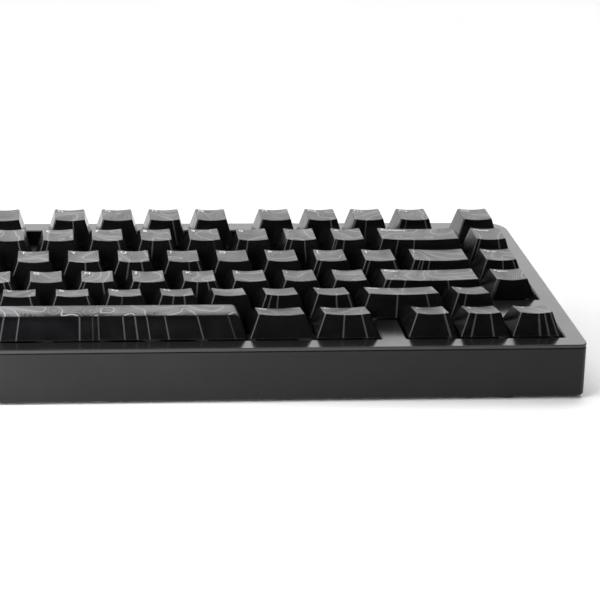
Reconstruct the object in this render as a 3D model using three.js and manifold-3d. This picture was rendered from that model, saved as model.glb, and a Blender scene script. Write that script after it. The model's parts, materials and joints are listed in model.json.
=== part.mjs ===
// A compact 80-key mechanical keyboard. Millimetres, +Z up, +X to the right, +Y away from the typist.
// The origin is under the middle of the case, on the surface that the rubber feet stand on.
import * as THREE from "three";
import { mergeVertices } from "three/addons/utils/BufferGeometryUtils.js";
import Module from "manifold-3d";

const wasm = await Module();
wasm.setup();

// ---- Driving dimensions, mm ----
const keyPitch = 19.05; // centre to centre of neighbouring keys
const fieldColumns = 16; // width of the key field in key pitches
const functionRowGap = 6.1; // extra space between the number row and the function row
const sideBorder = 7.4; // from the key field to the case's outer edge, left and right
const frontBorder = 7.8;
const backBorder = 9.8;
const typingTilt = THREE.MathUtils.degToRad(5); // slope of the deck, up towards the back
const frontHeight = 20.5; // from the table to the deck at the front edge
const frontCornerRadius = 3;
const backCornerRadius = 9;
const fitGap = 0.3; // between pieces that seat on each other
const slideGap = 0.35; // each side of a key's stem in its housing

const topSkin = 1.2; // top case, at its edge
const openingMargin = 0.8; // from the key field to the edge of the opening
const blankMargin = 0.4; // from a key's cell to the filled places beside it
const openingWall = 1.8;
const caseWall = 2.5;
const caseFloor = 2.4;
const plateLedge = 2.5; // how far the ledge under the plate stands in from the wall
const bottomEdge = 1.2; // rounding where the walls meet the floor
const cornerFacets = 4;
const discFacets = 16;
const pinFacets = 12;

const plateDepth = 6.1; // from the deck down to the top of the switch plate
const plateThickness = 1.5;
const boardDepth = 11.1; // from the deck down to the top of the circuit board
const boardThickness = 1.6;
const foamThickness = 3;
const foamInset = 1; // from the board's edge to the foam's
const boardMargin = 1; // from the plate's ledge to the board's edge

const capGap = 1; // between neighbouring keycap skirts
const capWall = 1.3;
const capTopWall = 1.1;
const capSideDraft = 3.15; // how far each side leans in from skirt to top
const capFrontDraft = 2.8;
const capBackDraft = 1.95;
const dishDepth = 0.6;
const dishFacets = 3;
const spaceCrown = 0.5; // the space bar's top bulges instead of dishing
const keyTravel = 4;
const stemReach = 3; // how far a stem stands in its housing at rest
const linkWidth = 3;
const linkHeight = 1;
const linkLift = 0.2;
const linkBite = 0.6; // how deep a link runs into each skirt it joins

// Widths along X and Y of a switch, and of the narrower guide under each end of a wide key:
// stem, housing top, housing where it sits on the plate, and the neck that drops through the plate.
const switchSizes = { stem: [6.4, 6.4], top: [11, 11], base: [15, 15], neck: [13.8, 13.8] };
const guideSizes = { stem: [3.4, 6.4], top: [6, 11], base: [7.4, 14], neck: [6.8, 12.8] };
const housingRise = 6; // above the plate
const wellFloor = 1; // left under the stem at full travel
const padThickness = 0.5;

const socketWidth = 8.94;
const socketHeight = 3.26;
const socketLength = 7.4;
const socketShell = 0.4;
const socketEnd = 1; // thickness of the socket's closed end
const tongueWidth = 6.7;
const tongueThickness = 0.7;
const socketRecess = 0.6;
const socketX = -118;
const socketClearance = 0.35;
const tongueRecess = 1; // from the mouth to the tongue
const socketRoom = 2; // left free behind the socket

const batterySize = new THREE.Vector3(110, 38, 6);
const batteryPlace = new THREE.Vector2(0, 36);
const batteryRadius = 2;

const footRadius = 7;
const footThickness = 1.5;
const footProud = 1;
const footX = 131; // feet stand this far left and right of the middle
const footInset = 9.2; // feet centres, in from the front and back edges

const tiltFootWidth = 30;
const tiltFootLength = 24;
const tiltFootThickness = 3;
const tiltFootX = 100;
const tiltHingeInset = 12; // hinge line, in from the back edge
const knuckleRadius = 2;
const hingePinRadius = 1.3;
const hingePinLength = 1.8;
const pocketWall = 2.4;

// Keycap heights above the skirt at the top's front and back edges, for rows 0 (back) to 5 (front).
const capHeights = [
  { front: 10.3, back: 10.5 },
  { front: 10.4, back: 10.5 },
  { front: 8.4, back: 8.2 },
  { front: 7.3, back: 6.7 },
  { front: 8.9, back: 6.5 },
  { front: 8.5, back: 6.0 },
];

// Each entry is one node: its name, its row, and for each of its caps the left edge and width in pitches.
const letters = (row, start, text) =>
  [...text].map((letter, i) => ({ name: letter, row, caps: [[start + i, 1]] }));
const run = (start, count) => Array.from({ length: count }, (_, i) => [start + i, 1]);

const keys = [
  { name: "escape", row: 0, caps: [[0, 1]] },
  { name: "function_row", row: 0, caps: [...run(1.875, 4), ...run(6.25, 4), ...run(10.625, 4)] },
  { name: "number_row", row: 1, caps: run(0, 13) },
  { name: "backspace", row: 1, caps: [[13, 2]] },
  { name: "tab", row: 2, caps: [[0, 1.5]] },
  ...letters(2, 1.5, "qwertyuiop"),
  { name: "brackets", row: 2, caps: [...run(11.5, 2), [13.5, 1.5]] },
  { name: "caps_lock", row: 3, caps: [[0, 1.75]] },
  ...letters(3, 1.75, "asdfghjkl"),
  { name: "semicolon_quote", row: 3, caps: run(10.75, 2) },
  { name: "enter", row: 3, caps: [[12.75, 2.25]] },
  { name: "left_shift", row: 4, caps: [[0, 2.25]] },
  ...letters(4, 2.25, "zxcvbnm"),
  { name: "comma_period_slash", row: 4, caps: run(9.25, 3) },
  { name: "right_shift", row: 4, caps: [[12.25, 1.75]] },
  { name: "arrow_up", row: 4, caps: [[14, 1]] },
  { name: "left_modifiers", row: 5, caps: [[0, 1.25], [1.25, 1.25], [2.5, 1.25]] },
  { name: "space", row: 5, caps: [[3.75, 6.25]] },
  { name: "right_modifiers", row: 5, caps: [[10, 1.25], [11.25, 1.25]] },
  { name: "arrow_left", row: 5, caps: [[13, 1]] },
  { name: "arrow_down", row: 5, caps: [[14, 1]] },
  { name: "arrow_right", row: 5, caps: [[15, 1]] },
];
const navigationColumn = 15;
const navigationRows = [0, 1, 2, 3];
const arrowUpRow = 4;
// The blank between the right modifiers and the arrow keys, from one column to another.
const blankColumns = { from: 12.5, to: 13 };

// Keys this wide or wider stand on two extra stems, this far each side of the middle, in mm.
const wideKeys = [
  { from: 6, reach: 50 },
  { from: 2, reach: 11.9 },
];

// ---- Derived sizes ----
const rowCount = capHeights.length;
const fieldWidth = fieldColumns * keyPitch;
const fieldLength = rowCount * keyPitch + functionRowGap;
const caseWidth = fieldWidth + 2 * sideBorder;
const deckLength = frontBorder + fieldLength + backBorder;
const caseLength = deckLength * Math.cos(typingTilt);
const undersideZ = footProud;
const floorZ = undersideZ + caseFloor;
const seamDepth = topSkin + fitGap;
const boardInset = caseWall + plateLedge + boardMargin;
const tall = 4 * frontHeight; // taller than anything that it cuts
const past = 1; // how far a cut runs past the face that it opens

const rowFront = (row) =>
  frontBorder + (rowCount - 1 - row) * keyPitch + (row === 0 ? functionRowGap : 0);
const columnX = (column) => column * keyPitch - fieldWidth / 2;

// ---- Finishes ----
const finish = (color, roughness, metalness = 0) =>
  new THREE.MeshStandardMaterial({ color, roughness, metalness });
const finishes = {
  case: finish("#3a3a3b", 0.45),
  bezel: finish("#343436", 0.35),
  keycap: finish("#1c1c1d", 0.5),
  plate: finish("#2b2c2e", 0.4, 0.9),
  housing: finish("#202124", 0.4),
  board: finish("#14281c", 0.5),
  foam: finish("#2a2a2c", 0.95),
  battery: finish("#9aa0a6", 0.4, 0.3),
  metal: finish("#b9bcc0", 0.3, 1),
  rubber: finish("#161616", 0.9),
};

// ---- Solids ----
// A closed three.js geometry as a solid that can be joined and cut.
function solidFrom(geometry) {
  const bare = geometry.clone();
  bare.deleteAttribute("normal");
  bare.deleteAttribute("uv");
  const merged = mergeVertices(bare, 1e-4);
  return new wasm.Manifold(
    new wasm.Mesh({
      numProp: 3,
      vertProperties: new Float32Array(merged.attributes.position.array),
      triVerts: new Uint32Array(merged.index.array),
    }),
  );
}

function geometryFrom(solid) {
  const mesh = solid.getMesh();
  const geometry = new THREE.BufferGeometry();
  geometry.setAttribute("position", new THREE.BufferAttribute(mesh.vertProperties, 3));
  geometry.setIndex(new THREE.BufferAttribute(mesh.triVerts, 1));
  geometry.computeVertexNormals();
  return geometry;
}

// A box from its lowest corner to its highest.
function block(low, high) {
  const geometry = new THREE.BoxGeometry(high[0] - low[0], high[1] - low[1], high[2] - low[2]);
  geometry.translate((low[0] + high[0]) / 2, (low[1] + high[1]) / 2, (low[2] + high[2]) / 2);
  return solidFrom(geometry);
}

// An outline's points in the XY plane, raised from one height to another.
function prism(outline, low, high) {
  const geometry = new THREE.ExtrudeGeometry(new THREE.Shape(outline), {
    depth: high - low,
    bevelEnabled: false,
  });
  geometry.translate(0, 0, low);
  return solidFrom(geometry);
}

// A skin over rings of equal point count, closed flat at its first and last ring.
function loft(rings) {
  const count = rings[0].length;
  const index = [];
  for (let r = 0; r + 1 < rings.length; r++) {
    for (let i = 0; i < count; i++) {
      const a = r * count + i;
      const b = r * count + ((i + 1) % count);
      index.push(a, b, b + count, a, b + count, a + count);
    }
  }
  const last = (rings.length - 1) * count;
  for (let i = 1; i + 1 < count; i++) {
    index.push(0, i + 1, i, last, last + i, last + i + 1);
  }
  const geometry = new THREE.BufferGeometry();
  geometry.setAttribute("position", new THREE.Float32BufferAttribute(rings.flat(2), 3));
  geometry.setIndex(index);
  return solidFrom(geometry);
}

const joined = (solids) => solids.reduce((all, one) => all.add(one));

// A rounded rectangle's points, with one radius at the front corners and one at the back.
function roundedOutline(left, right, front, back, frontRadius, backRadius) {
  const corners = [
    [right - frontRadius, front + frontRadius, frontRadius],
    [right - backRadius, back - backRadius, backRadius],
    [left + backRadius, back - backRadius, backRadius],
    [left + frontRadius, front + frontRadius, frontRadius],
  ];
  return corners.flatMap(([x, y, radius], corner) =>
    Array.from({ length: cornerFacets + 1 }, (_, i) => {
      const angle = (Math.PI / 2) * (corner - 1 + i / cornerFacets);
      return new THREE.Vector2(x + radius * Math.cos(angle), y + radius * Math.sin(angle));
    }),
  );
}

const leastRadius = 0.5;
const shrunkRadius = (radius, inset) => Math.max(radius - inset, leastRadius);

// The case's outline in the deck's own plane, drawn in by an inset. The deck's Y starts at the front edge.
const deckOutline = (inset) =>
  roundedOutline(
    inset - caseWidth / 2,
    caseWidth / 2 - inset,
    inset,
    deckLength - inset,
    shrunkRadius(frontCornerRadius, inset),
    shrunkRadius(backCornerRadius, inset),
  );

// The case's outline on the table, drawn in by an inset.
const tableOutline = (inset) =>
  roundedOutline(
    inset - caseWidth / 2,
    caseWidth / 2 - inset,
    inset - caseLength / 2,
    caseLength / 2 - inset,
    shrunkRadius(frontCornerRadius, inset),
    shrunkRadius(backCornerRadius, inset),
  );

// Moves a solid made in the deck's plane to where the tilted deck lies over the table.
const deckMatrix = new THREE.Matrix4()
  .makeRotationX(typingTilt)
  .setPosition(0, -caseLength / 2, frontHeight);
const onDeck = (solid) => solid.transform(deckMatrix.toArray());
const offDeck = (solid) => solid.transform(deckMatrix.clone().invert().toArray());

// ---- Key field ----
// The stems under a cap: one in its switch, and two more in guides where the cap is wide.
function stemsUnder(x, y, width) {
  const wide = wideKeys.find((rule) => width >= rule.from);
  const guides = wide ? [-wide.reach, wide.reach] : [];
  return [{ x, y, sizes: switchSizes }, ...guides.map((d) => ({ x: x + d, y, sizes: guideSizes }))];
}

const cell = (row, column, width) => ({
  row,
  left: columnX(column),
  right: columnX(column + width),
  front: rowFront(row),
  back: rowFront(row) + keyPitch,
  middle: columnX(column + width / 2),
  stems: stemsUnder(columnX(column + width / 2), rowFront(row) + keyPitch / 2, width),
});

const keyNodes = keys.map((key) => ({
  name: "key_" + key.name,
  cells: key.caps.map(([column, width]) => cell(key.row, column, width)),
}));
keyNodes.push({
  name: "key_navigation_column",
  cells: navigationRows.map((row) => cell(row, navigationColumn, 1)),
});

const allStems = keyNodes.flatMap((key) => key.cells.flatMap((one) => one.stems));

// ---- Keycaps ----
const mix = (a, b, t) => a + (b - a) * t;

// The outer body of a cap: front, top and back follow one section that is swept from side to side.
function capBody(one, crown) {
  const heights = capHeights[one.row];
  const skirt = {
    left: one.left + capGap / 2,
    right: one.right - capGap / 2,
    front: one.front + capGap / 2,
    back: one.back - capGap / 2,
  };
  const rings = [];
  for (let i = 0; i <= dishFacets; i++) {
    const t = i / dishFacets;
    const sag = crown * (1 - (2 * t - 1) ** 2);
    const lowX = mix(skirt.left, skirt.right, t);
    const topX = mix(skirt.left + capSideDraft, skirt.right - capSideDraft, t);
    rings.push([
      [lowX, skirt.front, 0],
      [lowX, skirt.back, 0],
      [topX, skirt.back - capBackDraft, heights.back + sag],
      [topX, skirt.front + capFrontDraft, heights.front + sag],
    ]);
  }
  return loft(rings);
}

// The hollow under a cap, parallel to its outer faces.
function capHollow(one, crown) {
  const heights = capHeights[one.row];
  const cut = capTopWall + Math.max(-crown, 0);
  const ceilingFront = heights.front - cut;
  const ceilingBack = heights.back - cut;
  const shareFront = ceilingFront / heights.front;
  const shareBack = ceilingBack / heights.back;
  const sideShare = Math.min(shareFront, shareBack);
  const edge = capGap / 2 + capWall;
  const low = {
    left: one.left + edge,
    right: one.right - edge,
    front: one.front + edge,
    back: one.back - edge,
  };
  const top = {
    left: low.left + capSideDraft * sideShare,
    right: low.right - capSideDraft * sideShare,
    front: low.front + capFrontDraft * shareFront,
    back: low.back - capBackDraft * shareBack,
  };
  const section = (lowX, topX) => [
    [lowX, low.front, 0],
    [lowX, low.back, 0],
    [topX, top.back, ceilingBack],
    [topX, top.front, ceilingFront],
  ];
  return loft([section(low.left, top.left), section(low.right, top.right)]);
}

function stemBlock({ x, y, sizes }, low, high) {
  const [halfX, halfY] = sizes.stem.map((width) => width / 2);
  return block([x - halfX, y - halfY, low], [x + halfX, y + halfY, high]);
}

function keycap(one, crown) {
  const tallest = Math.max(capHeights[one.row].front, capHeights[one.row].back);
  const bottom = housingRise - plateDepth - stemReach;
  const stems = one.stems.map((stem) => stemBlock(stem, bottom, capWall));
  const cores = one.stems.map((stem) => stemBlock(stem, bottom, tallest));
  const hollow = capHollow(one, crown).subtract(joined(cores));
  return capBody(one, crown).subtract(hollow).add(joined(stems));
}

// A thin bar under the skirts that joins two neighbouring caps of one node.
function capLink(a, b) {
  const reach = capGap / 2 + capWall * linkBite;
  const half = linkWidth / 2;
  const low = linkLift;
  const high = linkLift + linkHeight;
  if (a.row === b.row) {
    const y = (a.front + a.back) / 2;
    return block([a.right - reach, y - half, low], [b.left + reach, y + half, high]);
  }
  return block([a.middle - half, b.back - reach, low], [a.middle + half, a.front + reach, high]);
}

function keyNode(key) {
  const crown = key.name === "key_space" ? spaceCrown : -dishDepth;
  const caps = key.cells.map((one) => keycap(one, crown));
  const links = key.cells.slice(1).map((one, i) => capLink(key.cells[i], one));
  return joined([...caps, ...links]);
}

// ---- Switches, plate and board ----
// A rectangle's corners round a stem, grown by a margin on every side.
function cornersRound({ x, y }, [widthX, widthY], margin = 0) {
  const halfX = widthX / 2 + margin;
  const halfY = widthY / 2 + margin;
  return [
    [x - halfX, y - halfY],
    [x + halfX, y - halfY],
    [x + halfX, y + halfY],
    [x - halfX, y + halfY],
  ];
}

const housingFoot = -boardDepth + fitGap;

// One switch housing: a neck through the plate, a tapered top and a square well for the stem.
function housing(stem) {
  const { sizes } = stem;
  const seat = -plateDepth + fitGap;
  const top = -plateDepth + housingRise;
  const well = top - stemReach - keyTravel - wellFloor;
  const ring = (widths, z, margin) => cornersRound(stem, widths, margin).map((corner) => [...corner, z]);
  return loft([
    ring(sizes.neck, housingFoot),
    ring(sizes.neck, seat),
    ring(sizes.base, seat),
    ring(sizes.top, top),
    ring(sizes.stem, top, slideGap),
    ring(sizes.stem, well, slideGap),
  ]);
}

const switchBank = () =>
  joined([
    prism(deckOutline(boardInset), housingFoot, housingFoot + padThickness),
    ...allStems.map(housing),
  ]);

function plateHole(stem) {
  const corners = cornersRound(stem, stem.sizes.neck, fitGap);
  const outline = corners.map(([x, y]) => new THREE.Vector2(x, y));
  return prism(outline, -plateDepth - plateThickness - past, -plateDepth + past);
}

function switchPlate() {
  const sheet = prism(deckOutline(caseWall + fitGap), -plateDepth - plateThickness, -plateDepth);
  return sheet.subtract(joined(allStems.map(plateHole)));
}

const boardBottom = -boardDepth - boardThickness;
const circuitBoard = () => prism(deckOutline(boardInset), boardBottom, -boardDepth);

// ---- USB socket ----
const socketTop = boardBottom - fitGap;
const socketZ = socketTop - socketHeight / 2;
// The back wall is upright, so seen from the tilted deck it leans in below the edge.
const socketMouthY = deckLength - socketRecess + socketZ * Math.tan(typingTilt);

// A slot outline with round ends, standing in the XZ plane after it is turned.
function slotOutline(width, height) {
  const r = height / 2;
  const reach = width / 2 - r;
  const outline = new THREE.Shape();
  outline.absarc(reach, 0, r, -Math.PI / 2, Math.PI / 2);
  outline.absarc(-reach, 0, r, Math.PI / 2, 1.5 * Math.PI);
  return outline;
}

// A slot-shaped bar on the socket's axis, from one Y to another.
function slotBar(width, height, fromY, toY) {
  const geometry = new THREE.ExtrudeGeometry(slotOutline(width, height), {
    depth: toY - fromY,
    bevelEnabled: false,
    curveSegments: 4,
  });
  geometry.rotateX(Math.PI / 2);
  geometry.translate(socketX, toY, socketZ);
  return solidFrom(geometry);
}

function usbSocket() {
  const back = socketMouthY - socketLength;
  const shell = slotBar(socketWidth, socketHeight, back, socketMouthY);
  const mouthWidth = socketWidth - 2 * socketShell;
  const mouthHeight = socketHeight - 2 * socketShell;
  const mouth = slotBar(mouthWidth, mouthHeight, back + socketEnd, socketMouthY + past);
  const tongue = block(
    [socketX - tongueWidth / 2, back + socketShell, socketZ - tongueThickness / 2],
    [socketX + tongueWidth / 2, socketMouthY - tongueRecess, socketZ + tongueThickness / 2],
  );
  return shell.subtract(mouth).add(tongue);
}

// ---- Foam and battery ----
// The battery's body, grown by a margin on every side.
function batteryBody(margin) {
  const halfX = batterySize.x / 2 + margin;
  const halfY = batterySize.y / 2 + margin;
  const outline = roundedOutline(
    batteryPlace.x - halfX,
    batteryPlace.x + halfX,
    batteryPlace.y - halfY,
    batteryPlace.y + halfY,
    batteryRadius + margin,
    batteryRadius + margin,
  );
  const seat = floorZ + fitGap;
  return prism(outline, seat - margin, seat + batterySize.z + margin);
}

// The foam lies under the board, thinned where the floor or the battery comes up to it.
function caseFoam() {
  const top = boardBottom - fitGap;
  const sheet = prism(deckOutline(boardInset + foamInset), top - foamThickness, top);
  const notch = block(
    [socketX - socketWidth, socketMouthY - socketLength - socketRoom, top - tall],
    [socketX + socketWidth, socketMouthY + past, top + past],
  );
  const floor = block(
    [-caseWidth, -caseLength, -tall],
    [caseWidth, caseLength, floorZ + fitGap],
  );
  return sheet.subtract(joined([notch, offDeck(floor), offDeck(batteryBody(fitGap))]));
}

// ---- Feet ----
const feet = {
  front_left_foot: [-footX, footInset - caseLength / 2],
  front_right_foot: [footX, footInset - caseLength / 2],
  back_left_foot: [-footX, caseLength / 2 - footInset],
  back_right_foot: [footX, caseLength / 2 - footInset],
};

function disc(radius, x, y, low, high) {
  const geometry = new THREE.CylinderGeometry(radius, radius, high - low, discFacets);
  geometry.rotateX(Math.PI / 2);
  geometry.translate(x, y, (low + high) / 2);
  return solidFrom(geometry);
}

// ---- Tilt feet ----
const hingeY = caseLength / 2 - tiltHingeInset;
const tiltFootLow = undersideZ + fitGap;
const hingeZ = tiltFootLow + knuckleRadius;

function barAlongX(radius, x, length) {
  const geometry = new THREE.CylinderGeometry(radius, radius, length, pinFacets);
  geometry.rotateZ(Math.PI / 2);
  geometry.translate(x, hingeY, hingeZ);
  return solidFrom(geometry);
}

function tiltFoot(x) {
  const half = tiltFootWidth / 2;
  const leaf = block(
    [x - half, hingeY - tiltFootLength, tiltFootLow],
    [x + half, hingeY, tiltFootLow + tiltFootThickness],
  );
  const knuckle = barAlongX(knuckleRadius, x, tiltFootWidth);
  const pin = barAlongX(hingePinRadius, x, tiltFootWidth + 2 * hingePinLength);
  return joined([leaf, knuckle, pin]);
}

const pocketHalf = tiltFootWidth / 2 + fitGap;
const pocketFront = hingeY - tiltFootLength - fitGap;
const pocketBack = hingeY + knuckleRadius + 2 * fitGap;
const pocketTop = hingeZ + knuckleRadius + fitGap;

const pocketHousing = (x) =>
  block(
    [x - pocketHalf - pocketWall, pocketFront - pocketWall, undersideZ],
    [x + pocketHalf + pocketWall, pocketBack + pocketWall, pocketTop + pocketWall],
  );

const pocketCut = (x) =>
  block([x - pocketHalf, pocketFront, undersideZ - past], [x + pocketHalf, pocketBack, pocketTop]).add(
    barAlongX(hingePinRadius + fitGap, x, tiltFootWidth + 2 * (hingePinLength + fitGap)),
  );

// ---- Case ----
// The opening that the keys stand in, with the blank places beside the arrow keys left filled.
function openingOutline(grow) {
  const left = -fieldWidth / 2 - openingMargin - grow;
  const right = fieldWidth / 2 + openingMargin + grow;
  const front = frontBorder - openingMargin - grow;
  const back = frontBorder + fieldLength + openingMargin + grow;
  const blankLeft = columnX(blankColumns.from) + blankMargin + grow;
  const blankRight = columnX(blankColumns.to) - blankMargin - grow;
  const blankBack = rowFront(arrowUpRow) - blankMargin - grow;
  const sideLeft = columnX(navigationColumn) + blankMargin + grow;
  const sideFront = rowFront(arrowUpRow) + blankMargin + grow;
  const sideBack = rowFront(arrowUpRow - 1) - blankMargin - grow;
  return [
    [left, front],
    [blankLeft, front],
    [blankLeft, blankBack],
    [blankRight, blankBack],
    [blankRight, front],
    [right, front],
    [right, sideFront],
    [sideLeft, sideFront],
    [sideLeft, sideBack],
    [right, sideBack],
    [right, back],
    [left, back],
  ].map(([x, y]) => new THREE.Vector2(x, y));
}

function topCase() {
  const skin = prism(deckOutline(0), -topSkin, 0);
  const wall = prism(openingOutline(openingWall), -plateDepth + fitGap, -topSkin / 2);
  return skin.add(wall).subtract(prism(openingOutline(0), -tall, tall));
}

// The outer body, with a small rounding where the walls meet the underside.
function bottomBody() {
  const ring = (inset, z) => tableOutline(inset).map(({ x, y }) => [x, y, z]);
  const lean = 1 - Math.SQRT1_2;
  return loft([
    ring(bottomEdge, undersideZ),
    ring(bottomEdge * lean, undersideZ + bottomEdge * lean),
    ring(0, undersideZ + bottomEdge),
    ring(0, tall),
  ]);
}

function bottomCase() {
  const aboveSeam = onDeck(block([-caseWidth, -tall, -seamDepth], [caseWidth, deckLength + tall, tall]));
  const ledgeTop = -plateDepth - plateThickness - fitGap;
  const plateRoom = onDeck(prism(deckOutline(caseWall), ledgeTop, tall));
  const belowFloor = block([-caseWidth, -caseLength, -tall], [caseWidth, caseLength, floorZ]);
  const innerRoom = onDeck(prism(deckOutline(caseWall + plateLedge), -tall, tall)).subtract(belowFloor);
  const socketSlot = onDeck(
    slotBar(
      socketWidth + 2 * socketClearance,
      socketHeight + 2 * socketClearance,
      socketMouthY - socketLength - past,
      deckLength + 2 * past,
    ),
  );
  const pockets = [-tiltFootX, tiltFootX];
  const pads = Object.values(feet).map(([x, y]) =>
    disc(footRadius + fitGap, x, y, undersideZ - past, footThickness + fitGap),
  );
  const shell = bottomBody().subtract(joined([aboveSeam, plateRoom, innerRoom]));
  return shell
    .add(joined(pockets.map(pocketHousing)))
    .subtract(joined([socketSlot, ...pads, ...pockets.map(pocketCut)]));
}

// ---- Assembly ----
const keyboard = new THREE.Group();
const deck = new THREE.Group();
deck.applyMatrix4(deckMatrix);
keyboard.add(deck);

function addNode(parent, name, solid, material) {
  const mesh = new THREE.Mesh(geometryFrom(solid), material);
  mesh.name = name;
  parent.add(mesh);
}

addNode(keyboard, "bottom_case", bottomCase(), finishes.case);
addNode(deck, "top_case", topCase(), finishes.bezel);
addNode(deck, "switch_plate", switchPlate(), finishes.plate);
addNode(deck, "switch_housings", switchBank(), finishes.housing);
addNode(deck, "circuit_board", circuitBoard(), finishes.board);
addNode(deck, "case_foam", caseFoam(), finishes.foam);
addNode(deck, "usb_c_socket", usbSocket(), finishes.metal);
addNode(keyboard, "battery", batteryBody(0), finishes.battery);
for (const [name, [x, y]] of Object.entries(feet)) {
  addNode(keyboard, name, disc(footRadius, x, y, 0, footThickness), finishes.rubber);
}
addNode(keyboard, "left_tilt_foot", tiltFoot(-tiltFootX), finishes.case);
addNode(keyboard, "right_tilt_foot", tiltFoot(tiltFootX), finishes.case);
for (const key of keyNodes) {
  addNode(deck, key.name, keyNode(key), finishes.keycap);
}

export default keyboard;
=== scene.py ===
"""A compact mechanical keyboard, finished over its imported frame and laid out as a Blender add-on."""
import json
import math

import bmesh
import bpy
from bpy.props import FloatProperty, FloatVectorProperty, IntProperty, PointerProperty
from mathutils import Matrix, Vector


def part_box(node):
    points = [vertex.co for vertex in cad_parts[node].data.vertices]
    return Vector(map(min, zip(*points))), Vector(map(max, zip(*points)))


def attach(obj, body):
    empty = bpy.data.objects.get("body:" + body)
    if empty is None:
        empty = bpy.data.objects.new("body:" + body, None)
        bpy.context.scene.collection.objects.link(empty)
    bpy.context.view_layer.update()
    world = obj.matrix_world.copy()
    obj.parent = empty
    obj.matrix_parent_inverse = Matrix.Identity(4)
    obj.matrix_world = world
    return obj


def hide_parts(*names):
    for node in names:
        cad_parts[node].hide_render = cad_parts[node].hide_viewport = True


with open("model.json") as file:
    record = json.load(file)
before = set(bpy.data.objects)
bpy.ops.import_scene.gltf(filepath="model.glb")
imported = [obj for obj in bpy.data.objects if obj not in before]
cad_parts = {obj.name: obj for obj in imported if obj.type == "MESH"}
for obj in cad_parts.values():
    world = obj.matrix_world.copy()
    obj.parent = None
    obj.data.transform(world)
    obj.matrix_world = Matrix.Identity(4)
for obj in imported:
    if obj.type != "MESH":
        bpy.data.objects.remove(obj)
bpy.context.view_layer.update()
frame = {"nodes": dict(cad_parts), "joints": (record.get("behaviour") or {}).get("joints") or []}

bl_info = {
    "name": "Compact Mechanical Keyboard",
    "version": (1, 0, 0),
    "blender": (4, 5, 0),
    "location": "3D View > Sidebar > Keyboard",
    "description": "Adds the shells, keycaps, switches, feet and finishes of a compact keyboard",
    "category": "Add Mesh",
}

MM = 0.001


def linear(code):
    """An sRGB hex colour as the linear RGBA that a shader reads."""
    channels = [int(code[i:i + 2], 16) / 255 for i in (1, 3, 5)]
    return tuple(c / 12.92 if c <= 0.04045 else ((c + 0.055) / 1.055) ** 2.4 for c in channels) + (1.0,)


# ---- The frame's own sizes ----
# The deck is the sloping plane at the top of the bezel. Its X runs along the case, its Y starts at
# the front edge and its Z is square to it, so a keycap's skirt lies at zero.
def joint_named(name):
    return next(joint for joint in frame["joints"] if joint["name"] == name)


PRESS_AXIS = Vector(joint_named("key_escape_press")["axis"])
TILT = math.atan2(PRESS_AXIS.y, -PRESS_AXIS.z)
CASE_LOW, CASE_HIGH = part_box("bottom_case")
CASE_LENGTH = CASE_HIGH.y - CASE_LOW.y
CASE_WIDTH = CASE_HIGH.x - CASE_LOW.x
DECK_LENGTH = CASE_LENGTH / math.cos(TILT)
FRONT_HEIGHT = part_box("top_case")[1].z - CASE_LENGTH * math.tan(TILT)
DECK = Matrix.Translation((0, CASE_LOW.y, FRONT_HEIGHT)) @ Matrix.Rotation(TILT, 4, "X")
TABLE_FRAME = Matrix.Identity(4)


# ---- Sizes and colours that a user would change ----
def length_property(name, description, millimetres):
    return FloatProperty(name=name, description=description, default=millimetres * MM,
                         unit="LENGTH", precision=5)


def angle_property(name, description, degrees):
    return FloatProperty(name=name, description=description, default=math.radians(degrees),
                         unit="ROTATION")


def colour_property(name, description, code):
    return FloatVectorProperty(name=name, description=description, default=linear(code),
                               subtype="COLOR", size=4, min=0, max=1)


class KeyFieldSizes(bpy.types.PropertyGroup):
    """Where the keys stand."""

    pitch: length_property("Key pitch", "Centre to centre of neighbouring keys", 19.05)
    columns: IntProperty(name="Columns", description="Width of the field in key pitches", default=16)
    function_gap: length_property(
        "Function row gap", "Extra space in front of the function row", 6.1)
    front_border: length_property(
        "Front border", "From the case's front edge to the key field", 7.8)
    opening_margin: length_property(
        "Opening margin", "From the key field to the edge of the bezel's opening", 0.8)
    blank_margin: length_property(
        "Blank margin", "From a key's place to the filled places beside it", 0.4)


class KeycapSizes(bpy.types.PropertyGroup):
    """One keycap."""

    gap: length_property("Gap", "Between neighbouring skirts", 1)
    wall: length_property("Wall", "Thickness of the skirt", 1.3)
    top_wall: length_property("Top wall", "Thickness under the dish", 1.1)
    side_draft: length_property("Side draft", "How far each side leans in from skirt to top", 3.15)
    front_draft: length_property("Front draft", "How far the front leans in", 2.8)
    back_draft: length_property("Back draft", "How far the back leans in", 1.95)
    dish: length_property("Dish", "Depth of the hollow in the top", 0.6)
    crown: length_property("Space bar crown", "Bulge of the space bar's top", 0.8)
    corner: length_property("Corner radius", "Of a cap's upright edges", 0.65)
    rim: length_property("Rim radius", "Of the edge round the top", 0.38)
    legend: length_property("Legend height", "Size of the letters", 3.4)


class CaseSizes(bpy.types.PropertyGroup):
    """The two shells."""

    skin: length_property("Top skin", "Thickness of the bezel", 1.2)
    seam: length_property("Seam", "Gap between the two shells", 0.3)
    wall: length_property("Wall", "Thickness of the bottom shell's wall", 2.5)
    floor: length_property("Floor", "Thickness of the bottom shell's floor", 2.4)
    ledge: length_property("Ledge", "How far the ledge under the plate stands in", 2.5)
    plate_depth: length_property("Plate depth", "From the deck to the switch plate", 6.1)
    plate: length_property("Plate", "Thickness of the switch plate", 1.5)
    opening_wall: length_property("Opening wall", "Thickness of the wall round the keys", 1.8)
    front_corner: length_property("Front corner radius", "Seen from above", 3)
    back_corner: length_property("Back corner radius", "Seen from above", 9)
    edge: length_property("Edge radius", "Of the bezel's outer edge", 0.25)
    lip: length_property("Lip radius", "Of the edge round the bezel's opening", 0.3)
    bottom_edge: length_property("Bottom edge radius", "Where the walls meet the underside", 1.2)
    rim: length_property("Rim radius", "Of the bottom shell's edge at the seam", 0.2)


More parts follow.
